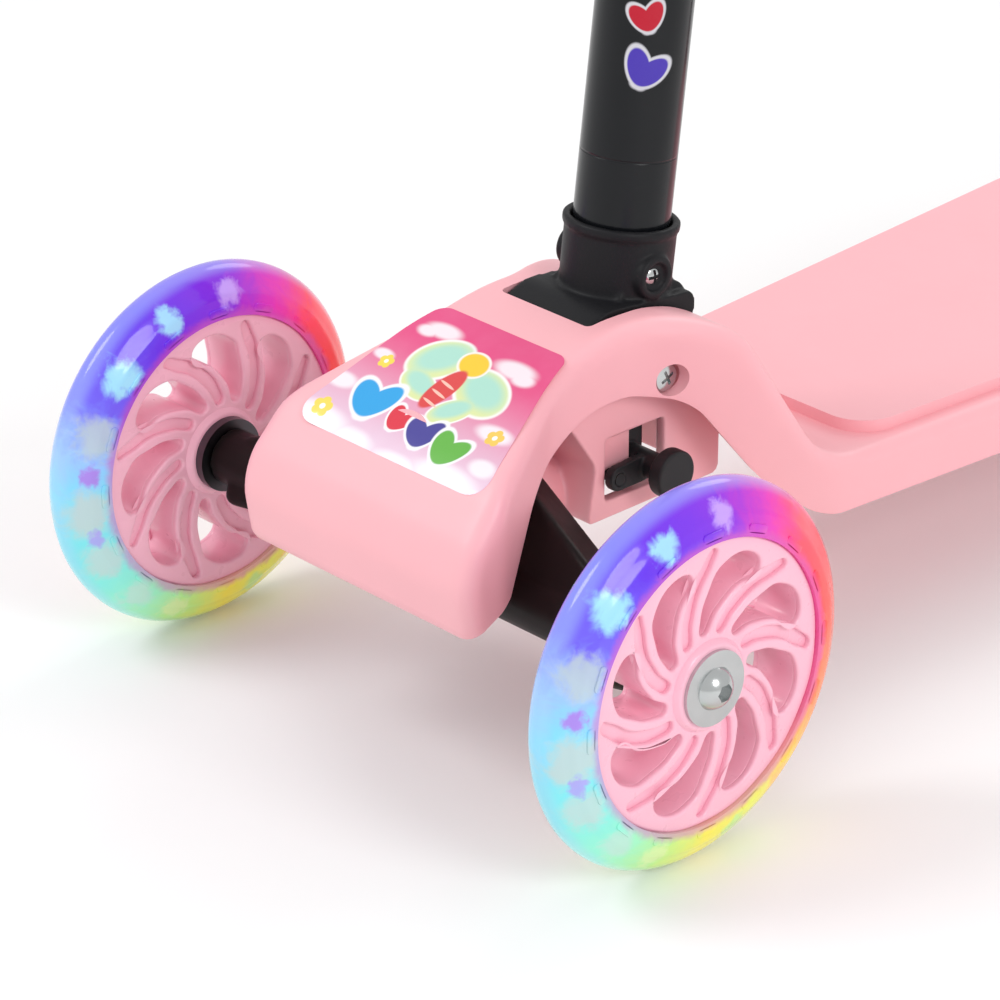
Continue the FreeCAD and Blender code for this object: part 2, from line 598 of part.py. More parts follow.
def make_rear():
    centre = V(0, WHEELBASE, REAR_R)
    bolt = cylinder(AXLE_R, FORK_OUT * 2 + 6, centre - X_AXIS * FORK_OUT, X_AXIS)
    save("rear_axle_bolt", bolt.fuse(button_head(6.6, 4.4, 5.0, centre - X_AXIS * FORK_OUT, X_AXIS * -1)))
    nut = hexagon(6.5, 5.5, centre + X_AXIS * FORK_OUT, X_AXIS)
    save("rear_axle_nut", nut.cut(cylinder(AXLE_R, 60, centre, X_AXIS)))
    spacer = ring(7.5, AXLE_R, FORK_IN - BARREL_HALF, centre + X_AXIS * BARREL_HALF, X_AXIS)
    save("rear_spacers", both_sides(spacer))

    outer = cylinder(FENDER_OUT, 2 * FENDER_HALF, centre - X_AXIS * FENDER_HALF, X_AXIS)
    inner = cylinder(FENDER_IN, 2 * FENDER_HALF, centre - X_AXIS * FENDER_HALF, X_AXIS)
    keep = slab_x(rounded([(WHEELBASE, REAR_R, 0), (WHEELBASE + 70, REAR_R, 0), (WHEELBASE + 70, 120, 0),
                           (BRAKE_Y + 16, 120, 0), (BRAKE_Y + 16, 70, 0)], yz), -40, 40)
    fender = outer.cut(inner).common(keep)
    root = slab_x(rounded([(BRAKE_Y - 5, BRAKE_Z - 4, 4), (BRAKE_Y + 10, BRAKE_Z - 5, 2),
                           (BRAKE_Y + 18, BRAKE_Z - 4, 1), (BRAKE_Y + 29, BRAKE_Z + 8, 1),
                           (BRAKE_Y + 24, BRAKE_Z + 10.5, 2), (BRAKE_Y - 5, BRAKE_Z + 5, 4)], yz), -23.6, 23.6)
    root = root.cut(cylinder(FENDER_IN, 80, centre - X_AXIS * 40, X_AXIS))
    pedal = fuse([fender, root])
    pedal = pedal.cut(cylinder(BRAKE_PIN_R + RUNNING, 80, V(-40, BRAKE_Y, BRAKE_Z), X_AXIS))
    save("brake_pedal", pedal)
    save("brake_pin", cylinder(BRAKE_PIN_R, 58, V(-29, BRAKE_Y, BRAKE_Z), X_AXIS))


os.makedirs("parts", exist_ok=True)
make_wheels()
make_truck()
shell, core = make_deck()
save("deck_shell", shell)
save("fold_housing", make_fold_housing(core))
make_sticker()
make_stem()
make_handlebar()
make_latch()
make_pins()
make_rear()
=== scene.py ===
"""Child's folding kick scooter: moulded pink hood and deck, two light-up front wheels that
steer by leaning, a rear wheel with a fender brake, and a black telescopic T-bar.

Everything is in the frame's own axes.  Sizes are written in millimetres and measured from
the front axle line; place() turns them into the frame's metres.
"""
import bmesh
import bpy
import math
from mathutils import Matrix, Vector


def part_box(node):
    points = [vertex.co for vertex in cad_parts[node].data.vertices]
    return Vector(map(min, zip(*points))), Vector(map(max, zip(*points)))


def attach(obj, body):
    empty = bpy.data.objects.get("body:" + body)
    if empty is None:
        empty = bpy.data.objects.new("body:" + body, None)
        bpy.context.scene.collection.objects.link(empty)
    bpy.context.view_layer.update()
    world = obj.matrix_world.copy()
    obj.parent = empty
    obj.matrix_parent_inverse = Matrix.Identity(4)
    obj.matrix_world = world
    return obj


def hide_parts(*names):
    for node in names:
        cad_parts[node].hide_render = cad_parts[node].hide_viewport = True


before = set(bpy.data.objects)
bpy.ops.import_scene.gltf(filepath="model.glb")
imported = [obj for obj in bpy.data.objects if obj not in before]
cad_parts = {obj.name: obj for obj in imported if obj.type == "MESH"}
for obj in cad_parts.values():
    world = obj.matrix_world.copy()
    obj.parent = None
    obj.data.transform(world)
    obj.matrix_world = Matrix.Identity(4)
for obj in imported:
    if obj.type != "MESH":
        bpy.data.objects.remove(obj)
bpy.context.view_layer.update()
MM = 0.001


def middle_of(node):
    low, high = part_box(node)
    return (Vector(low) + Vector(high)) / 2


AXLE_Y = middle_of("left_tyre").y
LEFT_AXLE = middle_of("left_tyre")
RIGHT_AXLE = middle_of("right_tyre")
REAR_AXLE = middle_of("rear_tyre")


def place(x, y, z):
    """A point given in millimetres from the front axle line, in the frame's metres."""
    return Vector((x * MM, y * MM + AXLE_Y, z * MM))


# ---------------------------------------------------------------- shader workshop
class Value:
    """A shader socket that takes part in sums; each sum adds the Math node it needs."""

    def __init__(self, shop, socket):
        self.shop = shop
        self.socket = socket

    def math(self, operation, *others):
        sockets = {0: self}
        for i, other in enumerate(others):
            sockets[i + 1] = other
        return self.shop.add("ShaderNodeMath", {"operation": operation}, sockets)[0]

    def __add__(self, other):
        return self.math("ADD", other)

    def __mul__(self, other):
        return self.math("MULTIPLY", other)

    def __sub__(self, other):
        return self.math("SUBTRACT", other)

    def __rsub__(self, other):
        return self.math("MULTIPLY_ADD", -1.0, other)

    def __truediv__(self, other):
        return self.math("DIVIDE", other)

    __radd__ = __add__
    __rmul__ = __mul__

    def size(self):
        return self.math("ABSOLUTE")


class Shop:
    """Makes one material: a Principled surface and the nodes that feed it."""

    def __init__(self, name):
        self.material = bpy.data.materials.new(name)
        self.material.use_nodes = True
        self.tree = self.material.node_tree
        self.principled = self.tree.nodes["Principled BSDF"]

    def add(self, kind, settings=None, sockets=None):
        """A node of that kind; returns its outputs as values."""
        node = self.tree.nodes.new(kind)
        for name, setting in (settings or {}).items():
            if name == "stops":
                self.set_stops(node.color_ramp, setting)
            else:
                setattr(node, name, setting)
        for name, value in (sockets or {}).items():
            self.feed(node.inputs[name], value)
        return [Value(self, output) for output in node.outputs]

    def set_stops(self, ramp, stops):
        while len(ramp.elements) < len(stops):
            ramp.elements.new(1.0)
        for element, (position, colour) in zip(ramp.elements, stops):
            element.position = position
            element.color = (*colour, 1.0)

    def feed(self, socket, value):
        if isinstance(value, Value):
            self.tree.links.new(value.socket, socket)
        elif isinstance(value, tuple) and socket.type == "RGBA":
            socket.default_value = (*value, 1.0)
        else:
            socket.default_value = value

    def surface(self, sockets):
        for name, value in sockets.items():
            self.feed(self.principled.inputs[name], value)
        return self.material

    def point(self):
        return self.add("ShaderNodeTexCoord")[3]

    def xyz(self):
        """Object coordinates in millimetres from the front axle line."""
        x, y, z = self.add("ShaderNodeSeparateXYZ", None, {0: self.point()})
        return x * 1000, (y - AXLE_Y) * 1000, z * 1000

    def noise(self, size, detail=2.0, roughness=0.5, distortion=0.0):
        """Soft noise whose features are about size millimetres across."""
        sockets = {"Vector": self.point(), "Scale": 1000 / size, "Detail": detail,
                   "Roughness": roughness, "Distortion": distortion}
        return self.add("ShaderNodeTexNoise", {"noise_dimensions": "3D"}, sockets)[0]

    def mix(self, factor, a, b):
        return self.add("ShaderNodeMix", {"data_type": "RGBA"}, {0: factor, 6: a, 7: b})[2]

    def ramp(self, value, stops):
        return self.add("ShaderNodeValToRGB", {"stops": stops}, {0: value})[0]

    def step(self, value, low, high):
        """0 at low, 1 at high, smooth between; low may be the larger."""
        return self.add("ShaderNodeMapRange", {"interpolation_type": "SMOOTHSTEP"},
                        {0: value, 1: low, 2: high})[0]

    def bump(self, height, depth, strength=1.0):
        sockets = {"Height": height, "Distance": depth * MM, "Strength": strength}
        return self.add("ShaderNodeBump", None, sockets)[0]

    def blob(self, a, b, centre, radii, turn=0.0, soft=0.12):
        """1 inside an ellipse in the (a, b) plane, 0 outside."""
        c, s = math.cos(math.radians(turn)), math.sin(math.radians(turn))
        da, db = a - centre[0], b - centre[1]
        along = (da * c + db * s) / radii[0]
        across = (db * c - da * s) / radii[1]
        reach = (along * along + across * across).math("SQRT")
        return self.step(reach, 1 + soft, 1 - soft)

    def heart(self, a, b, centre, size, turn=0.0, grow=1.0):
        """1 inside a heart in the (a, b) plane."""
        way = math.radians(turn)
        lobes = []
        for side, lift, wide, tall, lean in ((-0.27, 0.0, 0.74, 0.42, -56), (0.27, 0.0, 0.74, 0.42, 56)):
            middle = (centre[0] + size * (side * math.cos(way) - lift * math.sin(way)),
                      centre[1] + size * (side * math.sin(way) + lift * math.cos(way)))
            lobes.append(self.blob(a, b, middle, (size * wide * grow, size * tall * grow), turn + lean, 0.07))
        return self.either(lobes)

    def either(self, masks):
        whole = masks[0]
        for mask in masks[1:]:
            whole = whole.math("MAXIMUM", mask)
        return whole


def tint(colour, factor):
    return tuple(min(1.0, channel * factor) for channel in colour)


def moulded(name, colour, roughness=0.38, grain=0.35, depth=0.012, spread=0.04, shine=0.5):
    """Injection-moulded plastic: fine grain, faint flow marks, uneven sheen."""
    shop = Shop(name)
    flow = shop.noise(38, 3.0, 0.55, 0.4)
    return shop.surface({
        "Base Color": shop.mix(flow, tint(colour, 1 - spread), tint(colour, 1 + spread)),
        "Roughness": shop.noise(6, 3.0) * 0.12 + (roughness - 0.06), "Specular IOR Level": shine,
        "Normal": shop.bump(shop.noise(grain, 2.0, 0.6), depth)})


def metal(name, colour, roughness, marks=0.25, depth=0.004):
    """Plated metal with fine turning marks and a slightly clouded plate."""
    shop = Shop(name)
    cloud = shop.noise(5, 3.0)
    return shop.surface({
        "Base Color": shop.mix(cloud, tint(colour, 0.9), tint(colour, 1.06)),
        "Metallic": 1.0,
        "Roughness": cloud * 0.12 + (roughness - 0.06),
        "Normal": shop.bump(shop.noise(marks, 2.0, 0.7), depth)})


# ---------------------------------------------------------------- finishes
PINK = (0.95, 0.465, 0.51)
HUB_PINK = (0.95, 0.50, 0.62)
RAINBOW = [  # degrees from straight back, counted towards the top, and the colour there
    (-180, (0.20, 0.72, 0.90)), (-155, (0.20, 0.80, 0.78)), (-130, (0.30, 0.85, 0.60)),
    (-108, (0.50, 0.85, 0.25)), (-88, (0.92, 0.80, 0.08)), (-66, (0.80, 0.85, 0.12)),
    (-48, (0.98, 0.68, 0.08)), (-26, (1.0, 0.25, 0.05)), (8, (1.0, 0.06, 0.04)),
    (42, (0.98, 0.06, 0.12)), (62, (0.76, 0.03, 0.50)), (84, (0.24, 0.03, 0.74)),
    (120, (0.13, 0.03, 0.80)), (148, (0.16, 0.12, 0.88)), (166, (0.30, 0.55, 0.98)),
    (180, (0.20, 0.72, 0.90))]
GLOWS = [  # degrees, size in millimetres, colour
    (84, 4, (0.62, 0.42, 0.98)), (110, 4, (0.42, 0.88, 1.0)), (136, 5, (0.40, 0.90, 0.95)),
    (158, 6, (0.50, 0.60, 0.60)), (186, 7, (0.55, 0.63, 0.60)), (206, 6, (0.52, 0.66, 0.64)),
    (-132, 5, (0.50, 0.74, 0.66)), (172, 3, (0.42, 0.14, 0.75)), (-164, 2.6, (0.42, 0.30, 0.85)),
    (-112, 4, (0.70, 0.86, 0.40)), (-76, 4, (0.45, 0.80, 0.30)), (-55, 4, (1.0, 0.52, 0.12))]


def about(shop, axle):
    """Distance along, across and round an axle that lies along X, in millimetres and degrees."""
    x, y, z = shop.xyz()
    back = y - (axle.y - AXLE_Y) * 1000
    up = z - axle.z * 1000
    radius = (back * back + up * up).math("SQRT")
    return x, back, up, radius, up.math("ARCTAN2", back) * (180 / math.pi)


def lit_tyre(name, axle, inner, outer):
    """Clear polyurethane lit from within: a turning rainbow, light spots, a clear outer edge."""
    shop = Shop(name)
    _, back, up, radius, angle = about(shop, axle)
    swirl = shop.noise(9, 3.0, 0.6, 1.2)
    turn = (angle + (swirl - 0.5) * 16 + 180) / 360
    colour = shop.ramp(turn, [((degrees + 180) / 360, c) for degrees, c in RAINBOW])
    share = (radius - inner) / (outer - inner)
    colour = shop.mix(shop.step(share, 0.78, 1.0) * 0.35, colour, (0.42, 0.62, 0.95))
    scale = (outer - inner) / 15
    drift_back = (shop.noise(7, 3.0, 0.6, 0.8) - 0.5) * (9 * scale)
    drift_up = (shop.noise(5, 3.0, 0.6, 0.3) - 0.5) * (9 * scale)
    # painted glow: the inner band is mixed towards the magenta of the lit hub barrel seen through the clear
    # tyre
    seen_barrel = shop.step(share + (swirl - 0.5) * 0.25, 0.24, 0.02)
    colour = shop.mix(seen_barrel * 0.6, colour, (0.62, 0.10, 0.50))
    for degrees, size, light in GLOWS:
        middle = (inner + outer) / 2
        centre = (middle * math.cos(math.radians(degrees)), middle * math.sin(math.radians(degrees)))
        spot = shop.blob(back + drift_back, up + drift_up, centre, (size * 1.1 * scale, size * 0.9 * scale),
                         degrees + 90, 0.45)
        colour = shop.mix(spot * 0.8, colour, light)
    return shop.surface({
        "Base Color": colour, "Emission Color": colour, "Emission Strength": 0.14,
        "Roughness": swirl * 0.1 + 0.12, "Specular IOR Level": 0.3,
        "Coat Weight": 0.45, "Coat Roughness": 0.04,
        "Transmission Weight": 0.12, "IOR": 1.45,
        "Normal": shop.bump(shop.noise(14, 2.0), 0.25)})


def hub_plastic(name, axle, rim):
    """Glossy pink hub; the barrel band under the tyre carries a painted magenta glow from the wheel lights."""
    shop = Shop(name)
    _, _, _, radius, _ = about(shop, axle)
    painted_led_glow = shop.step(radius, rim - 0.3, rim + 0.4)
    colour = shop.mix(shop.noise(24, 3.0), tint(HUB_PINK, 0.97), tint(HUB_PINK, 1.05))
    return shop.surface({
        # painted light: magenta glow of the wheel lights painted on the barrel band near the rim
        "Base Color": shop.mix(painted_led_glow * 0.85, colour, (0.90, 0.08, 0.42)),
        "Roughness": shop.noise(5) * 0.1 + 0.24, "Coat Weight": 0.2,
        "Normal": shop.bump(shop.noise(0.6), 0.006)})


def deck_plastic():
    """Pink moulded plastic; the tread panel carries engraved rings, arcs and dots, their grooves tinted darker
    as painted shade.
    """
    shop = Shop("pink_deck_plastic")
    x, y, z = shop.xyz()
    lines = []
    for cx, cy, size in ((0, 168, 20), (0, 168, 11), (34, 205, 17), (-34, 205, 17), (0, 236, 22),
                         (0, 236, 12), (38, 262, 15), (-38, 262, 15), (0, 300, 24), (0, 300, 13),
                         (36, 338, 17), (-36, 338, 17), (0, 362, 12)):
        da, db = x - cx, y - cy
        reach = (da * da + db * db).math("SQRT") - size
        lines.append(shop.step(reach.size(), 0.9, 0.3))
    groove = shop.either(lines)
    cell_x = (x / 9.0).math("FRACT") - 0.5
    cell_y = (y / 9.0).math("FRACT") - 0.5
    dots = shop.step((cell_x * cell_x + cell_y * cell_y).math("SQRT"), 0.16, 0.08)
    inside = shop.step(z, 66.6, 66.9) * shop.step(z, 67.95, 67.8) * shop.step(y, 138, 142)
    flow = shop.noise(38, 3.0, 0.55, 0.4)
    shade = shop.mix(flow, tint(PINK, 0.97), tint(PINK, 1.03))
    fine = shop.noise(0.4, 2.0, 0.6)
    relief = fine * 0.03 - (groove * 0.6 + dots * 0.25) * inside
    return shop.surface({
        # painted shade: the engraved grooves and dots are tinted darker pink
        "Base Color": shop.mix((groove * 0.55 + dots * 0.2) * inside, shade, tint(PINK, 0.86)),
        "Roughness": shop.noise(6, 3.0) * 0.12 + 0.34 + inside * 0.06,
        "Normal": shop.bump(relief, 0.45)})


def painted_tube():
    """Gloss black powder coat with soft orange peel and a strip of printed hearts and leaves."""
    shop = Shop("black_gloss_paint")
    x, y, z = shop.xyz()
    lean = math.radians(7.25)
    height = (z - 147) * math.cos(lean) + (y - 79.3) * math.sin(lean)
    front = (y - 79.3) * math.cos(lean) - (z - 147) * math.sin(lean)
    around = x.math("ARCTAN2", front * -1) * 15.0
    colour = shop.mix(shop.noise(20), (0.004, 0.0045, 0.006), (0.007, 0.008, 0.010))
    prints = [(52, 50, 8.0, -20, (0.07, 0.04, 0.42)), (48, 66, 6.5, 15, (0.50, 0.01, 0.03)),
              (52, 84, 8.0, -15, (0.03, 0.20, 0.55)), (50, 102, 6.5, 20, (0.50, 0.01, 0.03)),
              (52, 120, 8.0, -20, (0.07, 0.04, 0.42)), (48, 138, 6.5, 10, (0.05, 0.38, 0.10)),
              (52, 156, 8.0, -15, (0.50, 0.01, 0.03)), (50, 174, 6.5, 20, (0.03, 0.20, 0.55))]
    for degrees, up, size, turn, ink in prints:
        centre = (math.radians(degrees) * 15.0, up)
        colour = shop.mix(shop.heart(around, height, centre, size, turn, 1.25), colour, (0.62, 0.62, 0.66))
        colour = shop.mix(shop.heart(around, height, centre, size, turn), colour, ink)
    sleeve = shop.step((height - 21).size(), 0.5, 0.1)
    return shop.surface({
        "Base Color": colour, "Roughness": shop.noise(4) * 0.08 + 0.17,
        "Specular IOR Level": 0.22, "Coat Weight": 0.12, "Coat Roughness": 0.06,
        "Normal": shop.bump(shop.noise(1.6) * 0.05 - sleeve, 0.15)})


def label_print():
    """Printed hood label: magenta sky fading to lilac, clouds, a butterfly, flowers and hearts."""
    shop = Shop("hood_label_print")
    x, y, z = shop.xyz()
    v = y * 0.9 + (z - 110) * 0.44
    fade = shop.step(v, 22, -26)
    paper = shop.mix(fade, (0.76, 0.03, 0.19), (0.78, 0.62, 0.76))
    glow = shop.noise(9, 3.0)
    colour = shop.mix(glow * 0.22, paper, (0.90, 0.30, 0.50))
    clouds = [(-17, 24, 7, 3), (-22, 22, 4, 2.4), (17, 21, 8, 3.4), (22, 19, 4.5, 2.6), (-33, -6, 6, 3),
              (30, -2, 7, 3), (-28, 8, 4, 2), (-30, -21, 12, 5), (-14, -23, 9, 4), (26, -22, 13, 5),
              (6, -24, 10, 3.4), (36, -14, 5, 3)]
    white = shop.either([shop.blob(x, v, (a, b), (c, d), 0, 0.35) for a, b, c, d in clouds])
    colour = shop.mix(white * 0.9, colour, (0.93, 0.88, 0.93))
    wings = [(-9, 14, 10.5, 7.5, 38), (14, 9, 11, 7.5, -22), (-8, 3, 8, 4.5, -20), (10, -1, 7.5, 4.5, 40)]
    for a, b, c, d, turn in wings:
        colour = shop.mix(shop.blob(x, v, (a, b), (c * 1.1, d * 1.14), turn, 0.05), colour,
                          (0.95, 0.93, 0.92))
    for a, b, c, d, turn in wings:
        colour = shop.mix(shop.blob(x, v, (a, b), (c, d), turn, 0.08), colour, (0.72, 0.80, 0.38))
        colour = shop.mix(shop.blob(x, v, (a, b + 1), (c * 0.85, d * 0.72), turn, 0.35), colour,
                          (0.42, 0.74, 0.62))
    colour = shop.mix(shop.blob(x, v, (3, 17), (6.4, 5.2), -15, 0.06), colour, (0.95, 0.90, 0.85))
    colour = shop.mix(shop.blob(x, v, (3, 17), (5.6, 4.4), -15, 0.08), colour, (0.93, 0.60, 0.02))
    colour = shop.mix(shop.blob(x, v, (1, 5), (4.2, 9), -12, 0.08), colour, (0.72, 0.05, 0.05))
    for stripe in (-1, 3, 7):
        colour = shop.mix(shop.blob(x, v, (1, stripe), (3.4, 0.5), -12, 0.2), colour, (0.95, 0.55, 0.45))
    hearts = [(-17, -8, 10.5, 8, (0.01, 0.36, 0.78)), (-3, -10.5, 6.5, -12, (0.72, 0.02, 0.05)),
              (8, -11.5, 8.0, 10, (0.05, 0.04, 0.30)), (20, -13, 8.5, -8, (0.12, 0.45, 0.05))]
    for a, b, size, turn, ink in hearts:
        colour = shop.mix(shop.heart(x, v, (a, b), size, turn, 1.24), colour, (0.93, 0.92, 0.95))
        colour = shop.mix(shop.heart(x, v, (a, b), size, turn), colour, ink)
    flowers = [(-31, -17, 3.4, (0.95, 0.70, 0.10)), (31, -3, 3.0, (0.93, 0.60, 0.10)),
               (-25, 6, 2.6, (0.93, 0.70, 0.08))]
    for a, b, size, ink in flowers:
        petals = []
        for step in range(5):
            way = math.radians(72 * step + 18)
            petals.append(shop.blob(x, v, (a + size * 0.6 * math.cos(way), b + size * 0.6 * math.sin(way)),
                                    (size * 0.48, size * 0.48)))
        colour = shop.mix(shop.either(petals), colour, ink)
        colour = shop.mix(shop.blob(x, v, (a, b), (size * 0.3, size * 0.3)), colour, (0.95, 0.95, 0.9))
    return shop.surface({
        "Base Color": colour, "Roughness": glow * 0.1 + 0.26, "Coat Weight": 0.35,
        "Normal": shop.bump(shop.noise(10, 2.0), 0.12)})


def module_plastic():
    """Milky light module, lighter and darker in random clouds."""
    shop = Shop("milky_light_module")
    cloud = shop.noise(3)
    return shop.surface({
        "Base Color": shop.mix(cloud, (0.70, 0.80, 0.85), (0.90, 0.95, 0.95)),
        "Roughness": cloud * 0.2 + 0.3, "Normal": shop.bump(cloud, 0.05)})


def grip_rubber():
    shop = Shop("soft_pink_rubber")
    return shop.surface({
        "Base Color": shop.mix(shop.noise(8, 3.0), tint(PINK, 0.92), PINK),
        "Roughness": shop.noise(1.2, 3.0) * 0.15 + 0.5, "Normal": shop.bump(shop.noise(0.4), 0.03)})


FINISHES = {
    "pink_deck": deck_plastic(),
    "pink": moulded("pink_moulded_plastic", PINK),
    "label": label_print(),
    "grained": moulded("black_grained_plastic", (0.012, 0.012, 0.014), 0.46, 0.7, 0.05, 0.1, 0.18),
    "truck": moulded("black_truck_plastic", (0.010, 0.006, 0.006), 0.40, 0.9, 0.02, 0.15, 0.16),
    "knob": moulded("black_knob_plastic", (0.016, 0.016, 0.018), 0.44, 0.8, 0.02, 0.1, 0.25),
    "fender": moulded("black_fender_plastic", (0.012, 0.012, 0.013), 0.44, 0.6, 0.03, 0.1, 0.2),
    "zinc": metal("bright_zinc", (0.56, 0.58, 0.58), 0.20),
    "dark_steel": metal("dark_ring_steel", (0.11, 0.11, 0.12), 0.30),
    "ground_steel": metal("ground_bearing_steel", (0.62, 0.63, 0.64), 0.26),
    "alloy": metal("satin_alloy_tube", (0.74, 0.75, 0.76), 0.30, 0.5),
    "nylon": moulded("natural_nylon", (0.72, 0.70, 0.64), 0.5, 0.8),
    "paint": painted_tube(),
    "module": module_plastic(),
    "rubber": grip_rubber(),
}
for wheel_name, axle, hub_edge, tyre_edge in (("left", LEFT_AXLE, 45, 60), ("right", RIGHT_AXLE, 45, 60),
                                              ("rear", REAR_AXLE, 30, 40)):
    FINISHES[wheel_name + "_tyre"] = lit_tyre(wheel_name + "_clear_tyre", axle, hub_edge, tyre_edge)
    FINISHES[wheel_name + "_hub"] = hub_plastic(wheel_name + "_pink_hub", axle, hub_edge)


# ---------------------------------------------------------------- modelling helpers
SIDE_ON = Matrix(((0, 0, 1, 0), (1, 0, 0, 0), (0, 1, 0, 0), (0, 0, 0, 1)))  # drawing (a, b) to (Y, Z)
FLAT_ON = Matrix.Identity(4)                                              # drawing (a, b) to (X, Y)


def outline(corners, segments=6):
    """One flat face in the XY plane whose corners are rounded; corners are (a, b, radius)."""
    bm = bmesh.new()
    verts = [bm.verts.new((a, b, 0)) for a, b, _ in corners]
    bm.faces.new(verts)
    for i, (a, b, radius) in enumerate(corners):
        if not radius:
            continue
        before, after = corners[i - 1], corners[(i + 1) % len(corners)]
        arms = Vector((before[0] - a, before[1] - b)), Vector((after[0] - a, after[1] - b))
        reach = radius / math.tan(arms[0].angle(arms[1]) / 2)
        bmesh.ops.bevel(bm, geom=[verts[i]], affect="VERTICES", offset=reach, offset_type="OFFSET",
                        segments=segments, profile=0.5, material=-1)
    return bm


def walk(corners, segments=10):
    """The points of a rounded outline, in order."""
    bm = outline(corners, segments)
    bm.faces.ensure_lookup_table()
    points = [vert.co.xy for vert in bm.faces[0].verts]
    bm.free()
    return points


def plate(corners, low, high, stand=SIDE_ON, segments=6):
    """A prism with that outline from low to high across the drawing."""
    bm = outline(corners, segments)
    bmesh.ops.translate(bm, verts=bm.verts, vec=(0, 0, low))
    swept = bmesh.ops.extrude_face_region(bm, geom=bm.faces[:])["geom"]
    raised = [part for part in swept if isinstance(part, bmesh.types.BMVert)]
    bmesh.ops.translate(bm, verts=raised, vec=(0, 0, high - low))
    bmesh.ops.transform(bm, matrix=stand, verts=bm.verts)
    bmesh.ops.recalc_face_normals(bm, faces=bm.faces)
    return bm


def spun(profile, centre=(0, 0, 0), steps=64, closed=True, axis=(1, 0, 0)):
    """Solid of revolution; profile is (place along the axis, radius)."""
    bm = bmesh.new()
    verts = [bm.verts.new((along, 0, radius)) for along, radius in profile]
    pairs = list(zip(verts, verts[1:])) + ([(verts[-1], verts[0])] if closed else [])
    edges = [bm.edges.new(pair) for pair in pairs]
    bmesh.ops.spin(bm, geom=verts + edges, cent=(0, 0, 0), axis=(1, 0, 0), dvec=(0, 0, 0),
                   angle=2 * math.pi, steps=steps, use_merge=True, use_duplicate=False)
    bmesh.ops.remove_doubles(bm, verts=bm.verts, dist=0.001)
    bmesh.ops.recalc_face_normals(bm, faces=bm.faces)
    turn = Vector((1, 0, 0)).rotation_difference(Vector(axis)).to_matrix().to_4x4()
    bmesh.ops.transform(bm, matrix=Matrix.Translation(centre) @ turn, verts=bm.verts)
    return bm


def soften(bm, width, segments=2, angle=35):
    """Round every edge sharper than angle."""
    sharp = [e for e in bm.edges if len(e.link_faces) == 2 and e.calc_face_angle() > math.radians(angle)]
    bmesh.ops.bevel(bm, geom=sharp, affect="EDGES", offset=width, offset_type="OFFSET",
                    segments=segments, profile=0.5, material=-1, clamp_overlap=True)
    return bm


def join(parts):
    """Several bmeshes as one."""
    whole = bmesh.new()
    for part in parts:
        spare = bpy.data.meshes.new("spare")
        part.to_mesh(spare)
        part.free()
        whole.from_mesh(spare)
        bpy.data.meshes.remove(spare)
    return whole


def copies(bm, count, pitch, centre=(0, 0, 0)):
    """The mesh repeated round an axle along X, each pitch degrees further; frees the first."""
    ring = []
    for step in range(count):
        turned = bm.copy()
        bmesh.ops.rotate(turned, cent=centre, matrix=Matrix.Rotation(math.radians(pitch * step), 3, "X"),
                         verts=turned.verts)
        ring.append(turned)
    bm.free()
    return ring


def mirrored(bm):
    """The mesh and its mirror image across the middle plane."""
    other = bm.copy()
    bmesh.ops.scale(other, vec=(-1, 1, 1), verts=other.verts)
    bmesh.ops.reverse_faces(other, faces=other.faces)
    return [bm, other]


def shade(mesh, angle):
    for polygon in mesh.polygons:
        polygon.use_smooth = True
    bm = bmesh.new()
    bm.from_mesh(mesh)
    for edge in bm.edges:
        edge.smooth = len(edge.link_faces) == 2 and edge.calc_face_angle() < math.radians(angle)
    bm.to_mesh(mesh)
    bm.free()


def new_object(name, bm, in_mm=True):
    """An object at the origin from a mesh drawn in millimetres from the front axle line."""
    if in_mm:
        to_frame = Matrix.Translation((0, AXLE_Y, 0)) @ Matrix.Diagonal((MM, MM, MM, 1))
        bmesh.ops.transform(bm, matrix=to_frame, verts=bm.verts)
    mesh = bpy.data.meshes.new(name)
    bm.to_mesh(mesh)
    bm.free()
    made = bpy.data.objects.new(name, mesh)
    bpy.context.scene.collection.objects.link(made)
    return made


def bake(made):
    """Its modifiers become its mesh."""
    bpy.context.view_layer.update()
    shown = made.evaluated_get(bpy.context.evaluated_depsgraph_get())
    mesh = bpy.data.meshes.new_from_object(shown)
    made.modifiers.clear()
    made.data = mesh
    return made


def carve(made, cutters):
    """Cut the joined cutters out of a piece."""
    tool = new_object("cutter", join(cutters))
    cut = made.modifiers.new("cut", "BOOLEAN")
    cut.operation, cut.solver, cut.object = "DIFFERENCE", "EXACT", tool
    bake(made)
    bpy.data.objects.remove(tool)
    return made


def settle(made, body, finish, nodes=(), angle=35):
    """Give a finished piece its shading, finish and body, and hide the nodes it stands for."""
    shade(made.data, angle)
    made.data.materials.clear()
    made.data.materials.append(FINISHES[finish])
    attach(made, body)
    if nodes:
        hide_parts(*nodes)
    return made


def ease(made, rounds):
    """Smooth a remeshed skin a few times over."""
    bm = bmesh.new()
    bm.from_mesh(made.data)
    for _ in range(rounds):
        bmesh.ops.smooth_vert(bm, verts=bm.verts, factor=0.5,
                              use_axis_x=True, use_axis_y=True, use_axis_z=True)
    bm.to_mesh(made.data)
    bm.free()


def softened(node, body, finish, voxel=0.8, rounds=3, narrow=1.0):
    """The node's own shape with the rounded edges of a moulding, drawn in sideways by narrow."""
    bm = bmesh.new()
    bm.from_mesh(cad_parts[node].data)
    bmesh.ops.scale(bm, vec=(narrow, 1, 1), verts=bm.verts)
    bmesh.ops.remove_doubles(bm, verts=bm.verts, dist=0.000002)
    made = new_object(node + "_moulded", bm, in_mm=False)
    skin = made.modifiers.new("skin", "REMESH")
    skin.mode, skin.voxel_size = "VOXEL", voxel * MM
    bake(made)
    ease(made, rounds)
    return settle(made, body, finish, [node], 60)


